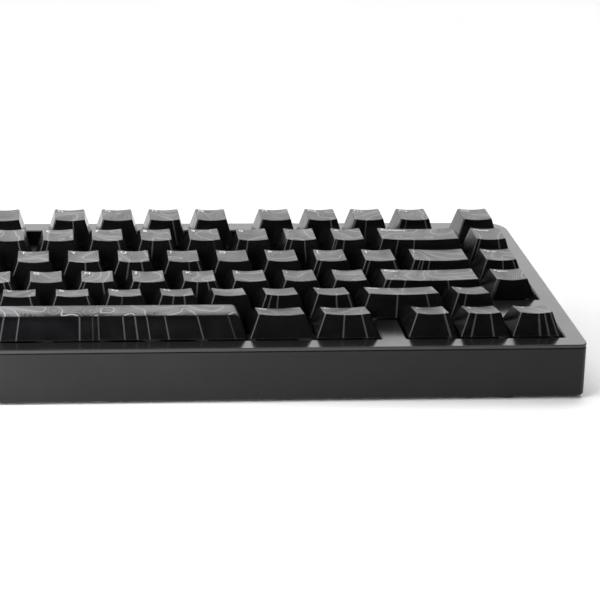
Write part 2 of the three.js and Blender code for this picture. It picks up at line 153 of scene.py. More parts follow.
class FinishColours(bpy.types.PropertyGroup):
    """Base colours of the finishes."""

    keycap: colour_property("Keycap", "Black of the caps", "#080809")
    # The ink's grey also paints the highlight along each cap's front-left edge.
    ink: colour_property("Ink", "Grey of the contour print", "#78797b")
    legend: colour_property("Legend", "White of the letters", "#f0f0ee")
    bezel: colour_property("Bezel", "Satin black of the top shell", "#151516")
    shell: colour_property("Shell", "Charcoal of the bottom shell", "#1a1a1b")


class StageSizes(bpy.types.PropertyGroup):
    """The camera and the floor."""

    camera_place: FloatVectorProperty(
        name="Camera place", description="Where the camera stands", size=3, unit="LENGTH",
        subtype="TRANSLATION", default=(-0.0305, -0.6959, 0.2161))
    pitch: angle_property("Pitch", "How far the camera looks down", 15.747)
    yaw: angle_property("Yaw", "How far the camera looks to the right", 6.815)
    roll: angle_property("Roll", "How far the camera leans", 1.443)
    lens: FloatProperty(
        name="Lens", description="Focal length on a 36 mm sensor, in millimetres", default=112.9)
    shift: FloatProperty(name="Shift", description="Sideways shift of the sensor", default=0.05)
    floor_radius: FloatProperty(
        name="Floor radius", description="Of the pale floor", default=6.0, unit="LENGTH")


class KeyboardSettings(bpy.types.PropertyGroup):
    """Everything that the operators read."""

    field: PointerProperty(type=KeyFieldSizes)
    cap: PointerProperty(type=KeycapSizes)
    case: PointerProperty(type=CaseSizes)
    colour: PointerProperty(type=FinishColours)
    stage: PointerProperty(type=StageSizes)


def settings():
    return bpy.context.scene.keyboard


# ---- The keys ----
# Each entry is one moving body: its name, its row from the back, and for each of its caps the left
# edge and width in pitches and the legend.
def run(start, legends):
    return [(start + i, 1, legend) for i, legend in enumerate(legends)]


def letters(row, start, text):
    return [(letter, row, [(start + i, 1, letter.upper())]) for i, letter in enumerate(text)]


FUNCTION_KEYS = [f"F{i}" for i in range(1, 13)]
KEYS = [
    ("escape", 0, [(0, 1, "Esc")]),
    ("function_row", 0, run(1.875, FUNCTION_KEYS[:4]) + run(6.25, FUNCTION_KEYS[4:8])
     + run(10.625, FUNCTION_KEYS[8:])),
    ("number_row", 1, run(0, "`1234567890-=")),
    ("backspace", 1, [(13, 2, "Backspace")]),
    ("tab", 2, [(0, 1.5, "Tab")]),
    *letters(2, 1.5, "qwertyuiop"),
    ("brackets", 2, run(11.5, "[]") + [(13.5, 1.5, "\\")]),
    ("caps_lock", 3, [(0, 1.75, "Caps")]),
    *letters(3, 1.75, "asdfghjkl"),
    ("semicolon_quote", 3, run(10.75, ";'")),
    ("enter", 3, [(12.75, 2.25, "Enter")]),
    ("left_shift", 4, [(0, 2.25, "Shift")]),
    *letters(4, 2.25, "zxcvbnm"),
    ("comma_period_slash", 4, run(9.25, ",./")),
    ("right_shift", 4, [(12.25, 1.75, "Shift")]),
    ("arrow_up", 4, [(14, 1, "↑")]),
    ("left_modifiers", 5, [(0, 1.25, "Ctrl"), (1.25, 1.25, "Meta"), (2.5, 1.25, "Alt")]),
    ("space", 5, [(3.75, 6.25, "")]),
    ("right_modifiers", 5, [(10, 1.25, "Alt"), (11.25, 1.25, "Fn")]),
    ("arrow_left", 5, [(13, 1, "←")]),
    ("arrow_down", 5, [(14, 1, "↓")]),
    ("arrow_right", 5, [(15, 1, "→")]),
]
NAVIGATION_COLUMN = 15
NAVIGATION = ["Del", "Home", "PgUp", "PgDn"]
ARROW_UP_ROW = 4
BLANK_COLUMNS = (12.5, 13)

# Keycap heights above the skirt at the top's front and back edges, from the back row to the front.
CAP_HEIGHTS = [
    (10.3 * MM, 10.5 * MM),
    (10.4 * MM, 10.5 * MM),
    (8.4 * MM, 8.2 * MM),
    (7.3 * MM, 6.7 * MM),
    (8.9 * MM, 6.5 * MM),
    (8.5 * MM, 6.0 * MM),
]
SPACE_HEIGHTS = (8.5 * MM, 7.2 * MM)
# Caps this wide or wider stand on two more stems, this far from the middle.
WIDE_KEYS = [(6, 50 * MM), (2, 11.9 * MM)]


def column_x(column):
    field = settings().field
    return (column - field.columns / 2) * field.pitch


def row_front(row):
    field = settings().field
    extra = field.function_gap if row == 0 else 0
    return field.front_border + (len(CAP_HEIGHTS) - 1 - row) * field.pitch + extra


class Cap:
    """One cap's place on the deck: its skirt, the rectangle of its top, and its heights."""

    def __init__(self, row, column, width, legend):
        sizes = settings().cap
        pitch = settings().field.pitch
        half_gap = sizes.gap / 2
        self.legend = legend
        self.is_space = width > WIDE_KEYS[0][0]
        self.width = width
        self.middle = (column_x(column + width / 2), row_front(row) + pitch / 2)
        self.low = (
            column_x(column) + half_gap,
            column_x(column + width) - half_gap,
            row_front(row) + half_gap,
            row_front(row) + pitch - half_gap,
        )
        self.top = (
            self.low[0] + sizes.side_draft,
            self.low[1] - sizes.side_draft,
            self.low[2] + sizes.front_draft,
            self.low[3] - sizes.back_draft,
        )
        self.front, self.back = SPACE_HEIGHTS if self.is_space else CAP_HEIGHTS[row]

    def rectangle(self, share, inset=0.0):
        """Left, right, front and back at a share of the height, drawn in by an inset."""
        left, right, front, back = (a + (b - a) * share for a, b in zip(self.low, self.top))
        return left + inset, right - inset, front + inset, back - inset

    def height(self, x, y, share=1.0):
        """Height of the top over a point of the ring at that share of the height."""
        left, right, front, back = self.rectangle(share)
        across = (x - left) / (right - left)
        along = (y - front) / (back - front)
        rise = self.front + (self.back - self.front) * along
        if self.is_space:
            return rise + settings().cap.crown * (1 - (2 * along - 1) ** 2)
        return rise - settings().cap.dish * (1 - (2 * across - 1) ** 2)

    def stems(self):
        """Centres of the switch and, under a wide cap, of the guides beside it."""
        reach = next((far for least, far in WIDE_KEYS if self.width >= least), None)
        sides = [-reach, reach] if reach else []
        return [self.middle], [(self.middle[0] + side, self.middle[1]) for side in sides]


def key_nodes():
    """Each moving key body's name with its caps."""
    made = [
        ("key_" + name, [Cap(row, *cap) for cap in caps])
        for name, row, caps in KEYS
    ]
    column = [Cap(row, NAVIGATION_COLUMN, 1, legend) for row, legend in enumerate(NAVIGATION)]
    return made + [("key_navigation_column", column)]


# ---- Mesh making ----
def outline(left, right, front, back, radii, across=1, along=1, turns=5):
    """A rounded rectangle's points with their outward directions, counter-clockwise from the front
    right corner. radii are those of the front and the back corners. across and along say into how
    many parts the straight runs are cut, and turns does so for each corner."""
    front_radius, back_radius = radii
    corners = [
        (right - front_radius, front + front_radius, front_radius, along),
        (right - back_radius, back - back_radius, back_radius, across),
        (left + back_radius, back - back_radius, back_radius, along),
        (left + front_radius, front + front_radius, front_radius, across),
    ]
    points = []
    for corner, (x, y, radius, pieces) in enumerate(corners):
        for i in range(turns + 1):
            angle = math.pi / 2 * (corner - 1 + i / turns)
            way = Vector((math.cos(angle), math.sin(angle)))
            points.append((Vector((x, y)) + way * radius, way))
        next_x, next_y, next_radius, _ = corners[(corner + 1) % 4]
        end = Vector((next_x, next_y)) + way * next_radius
        start = points[-1][0]
        points += [(start.lerp(end, i / pieces), way) for i in range(1, pieces)]
    return points


def circle(radius, count):
    """Points round the origin."""
    turns = [math.tau * i / count for i in range(count)]
    return [(radius * math.cos(turn), radius * math.sin(turn)) for turn in turns]


def fillet(radius, steps):
    """Inset and drop of each step of a rounded edge, from the wall to the face."""
    turns = [math.pi / 2 * i / steps for i in range(steps + 1)]
    return [(radius * (1 - math.cos(turn)), radius * (1 - math.sin(turn))) for turn in turns]


def loft(mesh, rings, place, **charts):
    """Adds a closed skin over rings of equal count to a bmesh. A ring of one point is a pole.
    charts give each ring's points their values of the mesh's own vector attributes."""
    made = [[mesh.verts.new(place @ Vector(point)) for point in ring] for ring in rings]
    for name, values in charts.items():
        layer = mesh.verts.layers.float_vector.get(name)
        for verts, ring_values in zip(made, values):
            for vertex, value in zip(verts, ring_values):
                vertex[layer] = value
    for a, b in zip(made, made[1:]):
        count = max(len(a), len(b))
        for i in range(count):
            j = (i + 1) % count
            corners = [a[i % len(a)], a[j % len(a)], b[j % len(b)], b[i % len(b)]]
            face = mesh.faces.new(list(dict.fromkeys(corners)))
            face.smooth = True


def added(name, mesh):
    """A bmesh, which is used up, as an object in the scene with its faces outward."""
    bmesh.ops.recalc_face_normals(mesh, faces=mesh.faces)
    data = bpy.data.meshes.new(name)
    mesh.to_mesh(data)
    mesh.free()
    return linked(name, data)


def linked(name, data):
    piece = bpy.data.objects.new(name, data)
    bpy.context.scene.collection.objects.link(piece)
    return piece


def taken(solid):
    """A solid's mesh as a bmesh. Its object is used up."""
    mesh = bmesh.new()
    mesh.from_mesh(solid.data)
    bpy.data.objects.remove(solid)
    return mesh


def piece_from(mesh, name, sharp=math.radians(35)):
    """A bmesh as a finished mesh, smooth but for its sharp edges, with flat faces shaded flat."""
    piece = added(name, mesh)
    piece.data.shade_smooth()
    piece.data.set_sharp_from_angle(angle=sharp)
    weighted = piece.modifiers.new("Weighted Normal", "WEIGHTED_NORMAL")
    weighted.keep_sharp = True
    return settled(piece)


def settled(piece):
    """The piece with its modifiers turned into plain mesh."""
    graph = bpy.context.evaluated_depsgraph_get()
    data = bpy.data.meshes.new_from_object(piece.evaluated_get(graph), depsgraph=graph)
    piece.modifiers.clear()
    piece.data = data
    data.name = piece.name
    return piece


def combined(piece, other, operation):
    """The piece cut by, or joined to, another object, which is used up."""
    boolean = piece.modifiers.new(operation.title(), "BOOLEAN")
    boolean.operation = operation
    boolean.solver = "EXACT"
    boolean.object = other
    settled(piece)
    bpy.data.objects.remove(other)


def block(name, low, high, place=TABLE_FRAME):
    """A closed box from its lowest corner to its highest."""
    corners = [(low[0], low[1]), (high[0], low[1]), (high[0], high[1]), (low[0], high[1])]
    return prism(name, [[(*corner, z) for corner in corners] for z in (low[2], high[2])], place)


def prism(name, rings, place=TABLE_FRAME):
    """A closed solid over rings of equal count, with flat ends."""
    mesh = bmesh.new()
    made = walls(mesh, [[place @ Vector(point) for point in ring] for ring in rings])
    mesh.faces.new(list(reversed(made[0])))
    mesh.faces.new(made[-1])
    return added(name, mesh)


def walls(mesh, rings):
    """Adds the faces between rings of equal count, and returns the rings' vertices."""
    made = [[mesh.verts.new(point) for point in ring] for ring in rings]
    for a, b in zip(made, made[1:]):
        for i in range(len(a)):
            j = (i + 1) % len(a)
            mesh.faces.new((a[i], a[j], b[j], b[i]))
    return made


def ready(piece, body, finish, slot, *nodes):
    """Gives a finished piece its material and its body, and hides the nodes that it stands for. slot is
    not used.
    """
    piece.data.materials.clear()
    piece.data.materials.append(finish)
    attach(piece, body)
    if nodes:
        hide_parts(*nodes)


# ---- Geometry Nodes ----
def repeat_tree():
    """A tree that stands a prototype on every point of a mesh, at a named scale."""
    name = "Repeat On Points"
    if name in bpy.data.node_groups:
        return bpy.data.node_groups[name]
    tree = bpy.data.node_groups.new(name, "GeometryNodeTree")
    sockets = {"Points": "Geometry", "Prototype": "Object", "Scale": "Float", "Finish": "Material"}
    for label, kind in sockets.items():
        tree.interface.new_socket(label, in_out="INPUT", socket_type="NodeSocket" + kind)
    tree.interface.new_socket("Geometry", in_out="OUTPUT", socket_type="NodeSocketGeometry")
    given = tree.nodes.new("NodeGroupInput").outputs
    prototype = add(tree, "GeometryNodeObjectInfo", {"Object": given["Prototype"]})
    placed = add(tree, "GeometryNodeInstanceOnPoints", {
        "Points": given["Points"],
        "Instance": prototype.outputs["Geometry"],
        "Scale": given["Scale"],
    })
    real = add(tree, "GeometryNodeRealizeInstances", {"Geometry": placed})
    finished = add(tree, "GeometryNodeSetMaterial", {"Geometry": real, "Material": given["Finish"]})
    add(tree, "NodeGroupOutput", {"Geometry": finished})
    return tree


def repeated(name, points, prototype, finish):
    """A plain mesh of the prototype repeated at points."""
    data = bpy.data.meshes.new(name)
    data.from_pydata([tuple(point) for point in points], [], [])
    piece = linked(name, data)
    nodes = piece.modifiers.new("Repeat", "NODES")
    nodes.node_group = repeat_tree()
    sockets = {item.name: item.identifier for item in nodes.node_group.interface.items_tree
               if item.in_out == "INPUT"}
    nodes[sockets["Prototype"]] = prototype
    nodes[sockets["Scale"]] = 1.0
    nodes[sockets["Finish"]] = finish
    return settled(piece)


# ---- Finishes ----
def add(tree, kind, inputs=None, **own):
    """Adds one node with its own settings and its inputs."""
    node = tree.nodes.new(kind)
    for key, value in own.items():
        setattr(node, key, value)
    fill(tree, node, inputs or {})
    return node


def fill(tree, node, inputs):
    """Gives a node its inputs, by name or number. Each is a plain value, another node's output, or a
    node, which is read at its first output in use."""
    for key, value in inputs.items():
        if isinstance(key, str):
            socket = next(entry for entry in node.inputs if entry.enabled and entry.name == key)
        else:
            socket = node.inputs[key]
        if isinstance(value, bpy.types.Node):
            value = next(output for output in value.outputs if output.enabled)
        if isinstance(value, bpy.types.NodeSocket):
            tree.links.new(value, socket)
        else:
            socket.default_value = value


def grain(tree, size, detail=2.0):
    """A noise whose lumps are about size metres across, on the object's own coordinates."""
    place = add(tree, "ShaderNodeTexCoord").outputs["Object"]
    return add(tree, "ShaderNodeTexNoise", {
        "Vector": place, "Scale": 1 / size, "Detail": detail, "Roughness": 0.55,
    })


def patches(tree, size, low, high, detail=2.0):
    """A value that drifts from low to high in patches about size metres across."""
    return add(tree, "ShaderNodeMapRange", {
        "Value": grain(tree, size, detail), "From Min": 0.3, "From Max": 0.7,
        "To Min": low, "To Max": high,
    })


def new_finish(name):
    """An empty material with its tree and its shader."""
    material = bpy.data.materials.new(name)
    material.use_nodes = True
    tree = material.node_tree
    return material, tree, tree.nodes["Principled BSDF"]


def surface(name, tones, tone_patches, gloss_patches=None, relief=None, sockets=None):
    """A material whose colour drifts between two tones. tone_patches and gloss_patches are the size,
    the ends and the detail of the patches, relief is the size and depth of the grain in the
    surface, and sockets are the shader's other values."""
    material, tree, shader = new_finish(name)
    inputs = dict(sockets or {})
    inputs["Base Color"] = add(tree, "ShaderNodeMix", {
        "Factor": patches(tree, *tone_patches), "A": tones[0], "B": tones[1],
    }, data_type="RGBA")
    if gloss_patches:
        inputs["Roughness"] = patches(tree, *gloss_patches)
    if relief:
        size, depth = relief
        height = grain(tree, size, 1.0)
        inputs["Normal"] = add(tree, "ShaderNodeBump", {"Height": height, "Distance": depth})
    fill(tree, shader, inputs)
    return material


CONTOUR_SIZE = 26 * MM  # hills of the contour print
SLOPE_STEP = 0.3 * MM  # distance over which a hill's slope is measured
BOLD_STEP = 0.13  # height between two bold lines
FINE_STEP = 0.016  # height between two fine lines
BOLD_WIDTH = 0.5 * MM
FINE_WIDTH = 0.26 * MM
FINE_INK = 0.5  # how much of the ink a fine line has
WALL_INK_AND_EDGE_HIGHLIGHT = 0.22  # how much of the ink is left where the film is drawn down over a wall, and how strong the painted highlight on each cap's front-left edge is
FADE = (0.35, 0.65)  # where a line fades out, as shares of its width from its middle
SLOPES = (0.0012, 0.003)  # from no ink to full ink on a front, as rise over one slope step
HIGHLIGHT_EDGE_WAY = 0.55  # how far to the left the upright edge with the painted highlight faces


def print_lines_and_edge_highlight(tree):
    """How much ink lies on a cap. A rolling height field over the tops is drawn as contour lines of
    even width: fine ones on the tops only, and bold ones that run straight down the fronts from where
    they cross the edge. One more light line, a painted highlight, follows the upright edge at each
    cap's front left."""
    film = add(tree, "ShaderNodeAttribute", attribute_name="film").outputs["Vector"]
    way = add(tree, "ShaderNodeAttribute", attribute_name="way").outputs["Vector"]
    facing = add(tree, "ShaderNodeSeparateXYZ", {"Vector": way}).outputs

    def hills(x, y):
        moved = add(tree, "ShaderNodeVectorMath", {0: film, 1: (x, y, 0)}, operation="ADD")
        return add(tree, "ShaderNodeTexNoise", {
            "Vector": moved, "Scale": 1 / CONTOUR_SIZE, "Detail": 1.5, "Roughness": 0.5,
            "Distortion": 0.4,
        }, noise_dimensions="2D")

    height = hills(0, 0)
    slope_x = add(tree, "ShaderNodeMath", {0: hills(SLOPE_STEP, 0), 1: height}, operation="SUBTRACT")
    slope_y = add(tree, "ShaderNodeMath", {0: hills(0, SLOPE_STEP), 1: height}, operation="SUBTRACT")
    on_top = add(tree, "ShaderNodeMapRange", {
        "Value": facing["Z"], "From Min": 0.1, "From Max": 0.5,
        "To Min": 1.0, "To Max": 0.0,
    })
    along = add(tree, "ShaderNodeMath", {0: slope_y, 1: on_top}, operation="MULTIPLY")
    along_squared = add(tree, "ShaderNodeMath", {0: along, 1: along}, operation="MULTIPLY")
    squares = add(tree, "ShaderNodeMath", {0: slope_x, 1: slope_x, 2: along_squared},
                  operation="MULTIPLY_ADD")
    root = add(tree, "ShaderNodeMath", {0: squares}, operation="SQRT")
    slope = add(tree, "ShaderNodeMath", {0: root, 1: 1e-5}, operation="MAXIMUM")

    def lines(level_step, width):
        levels = add(tree, "ShaderNodeMath", {0: height, 1: level_step}, operation="DIVIDE")
        level = add(tree, "ShaderNodeMath", {0: levels}, operation="FRACT")
        signed = add(tree, "ShaderNodeMath", {0: level, 1: 0.5}, operation="SUBTRACT")
        away = add(tree, "ShaderNodeMath", {0: signed}, operation="ABSOLUTE")
        rise = add(tree, "ShaderNodeMath", {0: away, 1: level_step * SLOPE_STEP},
                   operation="MULTIPLY")
        distance = add(tree, "ShaderNodeMath", {0: rise, 1: slope}, operation="DIVIDE")
        return add(tree, "ShaderNodeMapRange", {
            "Value": distance, "From Min": width * FADE[0], "From Max": width * FADE[1],
            "To Min": 1.0, "To Max": 0.0,
        })

    # On the fronts a line that meets the edge at a low angle would smear, so it ends there.
    across = add(tree, "ShaderNodeMath", {0: slope_x}, operation="ABSOLUTE")
    steep = add(tree, "ShaderNodeMapRange", {
        "Value": across, "From Min": SLOPES[0], "From Max": SLOPES[1],
        "To Min": 0.0, "To Max": 1.0,
    })
    front = add(tree, "ShaderNodeMapRange", {
        "Value": facing["Y"], "From Min": -0.99, "From Max": -0.9,
        "To Min": WALL_INK_AND_EDGE_HIGHLIGHT, "To Max": 0.0,
    })
    wrapped = add(tree, "ShaderNodeMath", {0: steep, 1: front}, operation="MULTIPLY")
    bold_film = add(tree, "ShaderNodeMath", {0: on_top, 1: wrapped}, operation="MAXIMUM")
    fine_film = add(tree, "ShaderNodeMath", {0: on_top, 1: FINE_INK}, operation="MULTIPLY")
    bold = add(tree, "ShaderNodeMath", {0: lines(BOLD_STEP, BOLD_WIDTH), 1: bold_film},
               operation="MULTIPLY")
    fine = add(tree, "ShaderNodeMath", {0: lines(FINE_STEP, FINE_WIDTH), 1: fine_film},
               operation="MULTIPLY")
    contours = add(tree, "ShaderNodeMath", {0: bold, 1: fine}, operation="MAXIMUM")

    # The line along each cap's front-left upright edge is a painted highlight: light ink where that
    # rounded edge would catch the light from the left.
    sideways = add(tree, "ShaderNodeMath", {0: facing["X"], 1: HIGHLIGHT_EDGE_WAY}, operation="ADD")
    off_edge = add(tree, "ShaderNodeMath", {0: sideways}, operation="ABSOLUTE")
    edge_side = add(tree, "ShaderNodeMapRange", {
        "Value": facing["Y"], "From Min": -0.3, "From Max": -0.1,
        "To Min": 1.0, "To Max": 0.0,
    })
    edge_highlight_paint = add(tree, "ShaderNodeMapRange", {
        "Value": off_edge, "From Min": 0.2, "From Max": 0.35,
        "To Min": WALL_INK_AND_EDGE_HIGHLIGHT, "To Max": 0.0,
    })
    edge = add(tree, "ShaderNodeMath", {0: edge_highlight_paint, 1: edge_side}, operation="MULTIPLY")
    off_top = add(tree, "ShaderNodeMath", {0: 1.0, 1: on_top}, operation="SUBTRACT")
    painted_edge_highlight = add(tree, "ShaderNodeMath", {0: edge, 1: off_top}, operation="MULTIPLY")
    return add(tree, "ShaderNodeMath", {0: contours, 1: painted_edge_highlight}, operation="MAXIMUM")


def keycap_finish():
    """Black PBT, moulded with a fine dry grain that turns pale where it is seen at a low angle, and
    printed all over with thin grey contour lines. A painted highlight in the same grey runs along each
    cap's front-left edge."""
    colour = settings().colour
    material, tree, shader = new_finish("Moulded black PBT with contour print")
    # ink holds the contour print and the painted highlight along each cap's front-left edge.
    ink = print_lines_and_edge_highlight(tree)
    worn = add(tree, "ShaderNodeMix", {
        "Factor": patches(tree, 9 * MM, 0.0, 0.5), "A": colour.keycap, "B": linear("#0e0e0f"),
    }, data_type="RGBA")
    # This lays the grey of the print and of the painted edge highlight over the black.
    printed = add(tree, "ShaderNodeMix", {"Factor": ink, "A": worn, "B": colour.ink},
                  data_type="RGBA")
    # The tops are spark-eroded and the walls come smoother from the mould.
    way = add(tree, "ShaderNodeAttribute", attribute_name="way").outputs["Vector"]
    facing = add(tree, "ShaderNodeSeparateXYZ", {"Vector": way}).outputs
    wall = add(tree, "ShaderNodeMapRange", {"Value": facing["Z"], "From Min": 0.2, "From Max": 0.9})
    dry = patches(tree, 6 * MM, 0.36, 0.46, 3.0)
    smoother = add(tree, "ShaderNodeMath", {0: wall, 1: -0.2, 2: dry}, operation="MULTIPLY_ADD")
    inked = add(tree, "ShaderNodeMath", {0: ink, 1: 0.12, 2: smoother}, operation="MULTIPLY_ADD")
    # The real grain is about 0.1 mm, too fine to show, so it is drawn at 0.45 mm.
    eroded = add(tree, "ShaderNodeMath", {0: wall, 1: -0.9, 2: 1.0}, operation="MULTIPLY_ADD")
    pits = add(tree, "ShaderNodeMath", {0: grain(tree, 0.45 * MM, 1.0), 1: eroded},
               operation="MULTIPLY")
    relief = add(tree, "ShaderNodeBump", {"Height": pits, "Distance": 0.04 * MM})
    fill(tree, shader, {"Base Color": printed, "Roughness": inked, "Normal": relief, "IOR": 1.5})
    return material


def bezel_finish():
    """Satin black ABS from a polished mould: it mirrors the keys softly, with faint haze from
    handling."""
    return surface(
        "Satin black ABS", (settings().colour.bezel, linear("#1b1b1c")), (30 * MM, 0.0, 0.35),
        (14 * MM, 0.15, 0.23, 4.0), (0.6 * MM, 0.003 * MM), {"IOR": 1.53})


def shell_finish():
    """Charcoal ABS with a spark-eroded mould texture: even and matt, softly lighter at low angles."""
    # The spark-eroded pits are about 0.08 mm, too fine to show, so they are drawn at 0.5 mm.
    return surface(
        "Textured charcoal ABS", (settings().colour.shell, linear("#202021")),
        (45 * MM, 0.0, 0.4), (10 * MM, 0.38, 0.48, 3.0), (0.5 * MM, 0.01 * MM),
        {"Specular IOR Level": 0.2})


def legend_finish():
    """White pad-printed ink: flat, a little chalky, thinner in places."""
    return surface(
        "White printed ink", (settings().colour.legend, linear("#bdbdbb")), (1.2 * MM, 0.0, 0.6),
        (2 * MM, 0.45, 0.6))


def plate_finish():
    """Powder-coated steel plate: near black with a fine orange peel."""
    return surface(
        "Black powder-coated steel", (linear("#141415"), linear("#1c1c1e")), (20 * MM, 0.0, 1.0),
        (5 * MM, 0.42, 0.55), (0.9 * MM, 0.02 * MM))


def nylon_finish(name, dark, light, roughness):
    """Moulded nylon: slightly waxy, with flow marks in its gloss."""
    return surface(
        name, (linear(dark), linear(light)), (4 * MM, 0.0, 1.0),
        (2.5 * MM, roughness - 0.05, roughness + 0.08, 3.0), (0.4 * MM, 0.006 * MM))


def battery_finish():
    """Aluminised pouch film: pale metal, gently wrinkled."""
    return surface(
        "Aluminised pouch film", (linear("#9aa0a6"), linear("#b6babd")), (12 * MM, 0.0, 1.0),
        (6 * MM, 0.28, 0.45), (7 * MM, 0.25 * MM), {"Metallic": 0.8})


def rubber_finish():
    """Moulded silicone rubber: soft black, dusty in patches."""
    return surface(
        "Silicone rubber", (linear("#101010"), linear("#262625")), (3 * MM, 0.0, 1.0, 4.0),
        (2 * MM, 0.7, 0.9), (0.35 * MM, 0.02 * MM))


def floor_finish():
    """Pale painted floor, nearly even, with the faintest roller texture."""
    return surface(
        "Matt white paint", (linear("#f4f4f4"), linear("#f8f8f8")), (200 * MM, 0.0, 1.0),
        relief=(3 * MM, 0.01 * MM), sockets={"Roughness": 0.9, "Specular IOR Level": 0.1})


def board_finish():
    """Green solder mask over copper: glossy, with the tracks showing as a faint lighter weave."""
    material, tree, shader = new_finish("Green solder mask")
    place = add(tree, "ShaderNodeTexCoord").outputs["Object"]
    tracks = add(tree, "ShaderNodeTexBrick", {
        "Vector": place, "Scale": 1 / (6 * MM), "Mortar Size": 0.03,
        "Color1": linear("#0d2616"), "Color2": linear("#10301b"), "Mortar": linear("#1d4a2c"),
    })
    gloss = patches(tree, 8 * MM, 0.22, 0.36)
    fill(tree, shader, {"Base Color": tracks, "Roughness": gloss})
    return material


def foam_finish():
    """Open-cell foam: dull black with deep pores."""
    material, tree, shader = new_finish("Open-cell foam")
    place = add(tree, "ShaderNodeTexCoord").outputs["Object"]
    cells = add(tree, "ShaderNodeTexVoronoi", {"Vector": place, "Scale": 1 / (1.2 * MM)})
    tone = add(tree, "ShaderNodeMix", {
        "Factor": cells, "A": linear("#151515"), "B": linear("#303030"),
    }, data_type="RGBA")
    pores = add(tree, "ShaderNodeBump", {"Height": cells, "Distance": 0.4 * MM})
    fill(tree, shader, {"Base Color": tone, "Roughness": 0.95, "Normal": pores})
    return material


def steel_finish():
    """Drawn stainless steel: bright, with fine lines along the way it was drawn."""
    material, tree, shader = new_finish("Drawn stainless steel")
    place = add(tree, "ShaderNodeTexCoord").outputs["Object"]
    stretched = add(tree, "ShaderNodeMapping", {"Vector": place, "Scale": (1.0, 0.08, 1.0)})
    lines = add(tree, "ShaderNodeTexNoise", {
        "Vector": stretched, "Scale": 1 / (0.25 * MM), "Detail": 2.0,
    })
    tone = add(tree, "ShaderNodeMix", {
        "Factor": lines, "A": linear("#a9abad"), "B": linear("#c9cbcd"),
    }, data_type="RGBA")
    gloss = add(tree, "ShaderNodeMapRange", {
        "Value": lines, "From Min": 0.3, "From Max": 0.7, "To Min": 0.22, "To Max": 0.38,
    })
    fill(tree, shader, {"Base Color": tone, "Roughness": gloss, "Metallic": 1.0})
    return material


# ---- Shapes of the shells ----
CORNER_TURNS = 12
LEAST_RADIUS = 0.5 * MM


def case_outline(inset, front, back):
    """The case's outline seen from above, between two places along it."""
    case = settings().case
    corners = [max(radius - inset, LEAST_RADIUS) for radius in (case.front_corner, case.back_corner)]
    half = CASE_WIDTH / 2
    return outline(inset - half, half - inset, front + inset, back - inset, corners,
                   turns=CORNER_TURNS)


def deck_ring(inset, z):
    """The case's outline in the deck's plane, at a height over the deck."""
    return [DECK @ Vector((point.x, point.y, z)) for point, _ in case_outline(inset, 0, DECK_LENGTH)]


def table_ring(inset, height):
    """The case's outline on the table, with its height as a function of y."""
    return [Vector((point.x, point.y, height(point.y)))
            for point, _ in case_outline(inset, CASE_LOW.y, CASE_HIGH.y)]


def under_deck(depth):
    """The height at each y of the plane that lies this far under the deck."""
    return lambda y: FRONT_HEIGHT + (y - CASE_LOW.y) * math.tan(TILT) - depth / math.cos(TILT)


OPENING_CORNER = 0.8 * MM
LEAST_OPENING_CORNER = 0.15 * MM


def opening_ring(grow, z, turns=4):
    """The opening's outline, with rounded corners, at a height over the deck."""
    field = settings().field
    half = field.columns * field.pitch / 2 + field.opening_margin + grow
    front = field.front_border - field.opening_margin - grow
    back = row_front(0) + field.pitch + field.opening_margin + grow
    edge = field.blank_margin + grow
    blank_left = column_x(BLANK_COLUMNS[0]) + edge
    blank_right = column_x(BLANK_COLUMNS[1]) - edge
    blank_back = row_front(ARROW_UP_ROW) - edge
    side_left = column_x(NAVIGATION_COLUMN) + edge
    side_front = row_front(ARROW_UP_ROW) + edge
    side_back = row_front(ARROW_UP_ROW - 1) - edge
    corners = [
        (-half, front), (blank_left, front), (blank_left, blank_back), (blank_right, blank_back),
        (blank_right, front), (half, front), (half, side_front), (side_left, side_front),
        (side_left, side_back), (half, side_back), (half, back), (-half, back),
    ]
    ring = []
    for i, here in enumerate(corners):
        before = (Vector(corners[i - 1]) - Vector(here)).normalized()
        after = (Vector(corners[(i + 1) % len(corners)]) - Vector(here)).normalized()
        is_outer = before.x * after.y - before.y * after.x < 0
        radius = max(OPENING_CORNER + (grow if is_outer else -grow), LEAST_OPENING_CORNER)
        centre = Vector(here) + (before + after) * radius
        for j in range(turns + 1):
            angle = math.pi / 2 * j / turns
            point = centre - before * radius * math.sin(angle) - after * radius * math.cos(angle)
            ring.append(DECK @ Vector((point.x, point.y, z)))
    return ring


